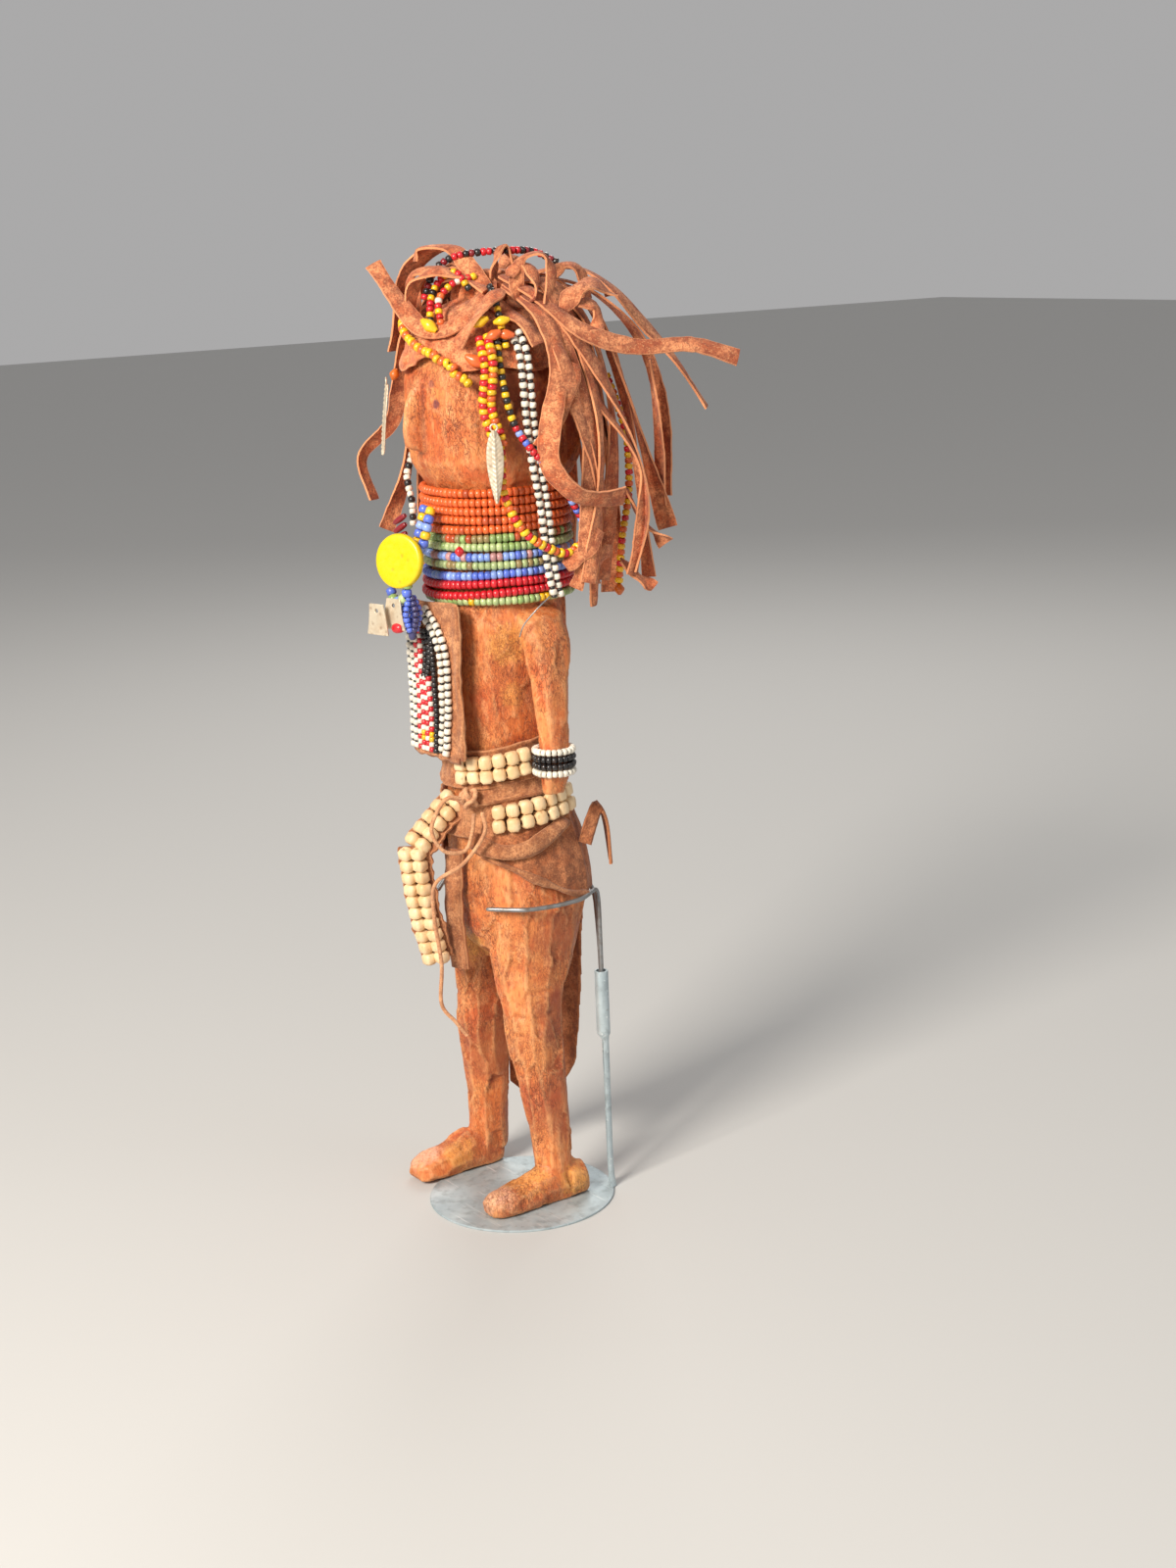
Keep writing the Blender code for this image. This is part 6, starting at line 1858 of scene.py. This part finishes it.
def build_stand():
    """The disc and its post, rolled from the same sheet: a channel below and a tube above."""
    profile = [(0.05, 0.0), (DISC_RADIUS - 0.35, 0.0)]
    for i in range(5):
        angle = math.pi * i / 4 - math.pi / 2
        profile.append((DISC_RADIUS - 0.25 + 0.25 * math.cos(angle),
                        DISC_THICKNESS / 2 * (1 + math.sin(angle))))
    profile += [(DISC_RADIUS - 0.6, DISC_THICKNESS), (0.05, DISC_THICKNESS)]
    turns = [2 * math.pi * i / 160 for i in range(160)]
    rows = [[mm(r * math.sin(a), -r * math.cos(a), z) for a in turns] for r, z in profile]
    disc = loft("disc", rows, caps=(0, len(rows) - 1))
    way = level_way(POST_BEARING)
    place = way * (DISC_RADIUS - 1.5) * MM
    inward = math.atan2(-way.y, -way.x)
    step = POST_HEIGHT - POST_TUBE_LENGTH
    # Height and radius in mm, and how wide the rolled sheet is open, in degrees
    sections = [(0.35, 3.0, 190), (2.0, 2.75, 188), (5.0, 2.4, 185), (9.0, 2.2, 176),
                (13.0, 2.1, 170), (40.0, 2.1, 160), (step - 3.0, 2.1, 150), (step - 1.0, 2.3, 90),
                (step, 2.8, 40), (step + 0.6, 2.82, 30), (POST_HEIGHT - 0.4, 2.8, 26),
                (POST_HEIGHT, 2.7, 26)]
    rows = []
    for height, radius, opening in sections:
        gap = math.radians(opening)
        rays = [mm(math.cos(a), math.sin(a), 0.0)
                for a in (inward + gap / 2 + (2 * math.pi - gap) * i / 27 for i in range(28))]
        level = place + mm(0, 0, height)
        rows.append([level + ray * radius for ray in rays]
                    + [level + ray * (radius - 0.6) for ray in reversed(rays)])
    post = loft("post", rows, caps=(0, len(rows) - 1))
    made = joined("stand_sheet", [disc, post])
    made.set_sharp_from_angle(angle=SHEET_RIDGE)
    show("stand_sheet", made, ZINC, ["stand_base"], "zinc_sheet")


def build_wire():
    """The wire clip, refined from its solid, with its front end folded back on itself."""
    mesh = subdivided(welded("stand_wire"), 2)
    mesh = settle(mesh, kind="DISPLACE", strength=0.32 * MM, mid_level=0.0)
    mesh.shade_smooth()
    show("wire_clip", mesh, STEEL, ["stand_wire"], "steel_wire")


# Stage

def build_stage():
    bpy.ops.mesh.primitive_plane_add(size=12.0, location=(0, 0, 0))
    floor = bpy.context.object
    floor.name = "floor"
    floor.data.materials.append(layered("Plain floor", (0.56, 0.555, 0.54), 0.9, 0.0, [], None,
                                        None, Specular_IOR_Level=0.2))
    world = bpy.data.worlds.new("soft_room")
    bpy.context.scene.world = world
    world.use_nodes = True
    room = world.node_tree.nodes["Background"]
    room.inputs["Color"].default_value = (0.90, 0.89, 0.89, 1.0)
    room.inputs["Strength"].default_value = 0.45
    for name, place, size, power, tint in (
        ("window_light", (0.42, -1.15, 0.92), 0.45, 29.5, (1.0, 0.93, 0.84)),
        ("side_fill", (1.2, 0.75, 0.7), 0.9, 2.2, (0.92, 0.96, 1.0)),
        ("back_light", (-0.9, 0.8, 1.1), 0.6, 6.0, (1.0, 0.97, 0.93)),
    ):
        lamp = bpy.data.lights.new(name, "AREA")
        lamp.size = size
        lamp.energy = power
        lamp.color = tint
        holder = added(name, lamp)
        holder.location = place
        aim = Vector((AXIS_X, AXIS_Y, 0.22)) - Vector(place)
        holder.rotation_euler = aim.to_track_quat("-Z", "Y").to_euler()


CAMERA_PLACE = (0.760, -0.491, 0.3957)
CAMERA_PITCH = math.radians(13.82)
CAMERA_ROLL = math.radians(-2.2)


def build_camera():
    """The camera stands to the doll's left front, a little above its head."""
    pitch, roll = CAMERA_PITCH, CAMERA_ROLL
    ahead = Vector((-0.8192, 0.5736, 0.0)) * math.cos(pitch) - Vector((0, 0, math.sin(pitch)))
    right = Vector((0.5736, 0.8192, 0.0))
    up = right.cross(ahead)
    x_axis = right * math.cos(roll) + up * math.sin(roll)
    y_axis = up * math.cos(roll) - right * math.sin(roll)
    data = bpy.data.cameras.new("photo_camera")
    data.lens = 54.0
    data.sensor_width = 36.0
    camera = added("photo_camera", data)
    turn = Matrix((x_axis, y_axis, -ahead)).transposed().to_4x4()
    camera.matrix_world = Matrix.Translation(CAMERA_PLACE) @ turn
    bpy.context.scene.camera = camera


def main():
    build_camera()
    build_lace("waist_bow_lace", "waist_bow", BOW_ROUTE, 8)
    build_lace("waist_hanging_lace", "waist_lace", LACE_ROUTE, 8)
    build_stage()
    build_figure()
    surface = build_hair()
    build_neck()
    build_strings(surface)
    build_ovals(surface)
    build_leaf("near_leaf", "leaf_pendant_near", 1.5, 0.0)
    build_leaf("far_leaf", "leaf_pendant_far", -1.5, 3.0)
    disc = build_button()
    build_plate("front_plate", "metal_pendant_front", 0.5)
    build_plate("back_plate", "metal_pendant_back", -0.6)
    build_front_strings(disc)
    build_bib()
    build_thread()
    build_belts()
    build_apron()
    build_knot()
    skirt, edges = build_skirt(), build_skirt_edges()
    build_skirt_loop()
    build_bracelets()
    build_stand()
    build_wire()
    bpy.context.scene.view_settings.view_transform = "Standard"


main()
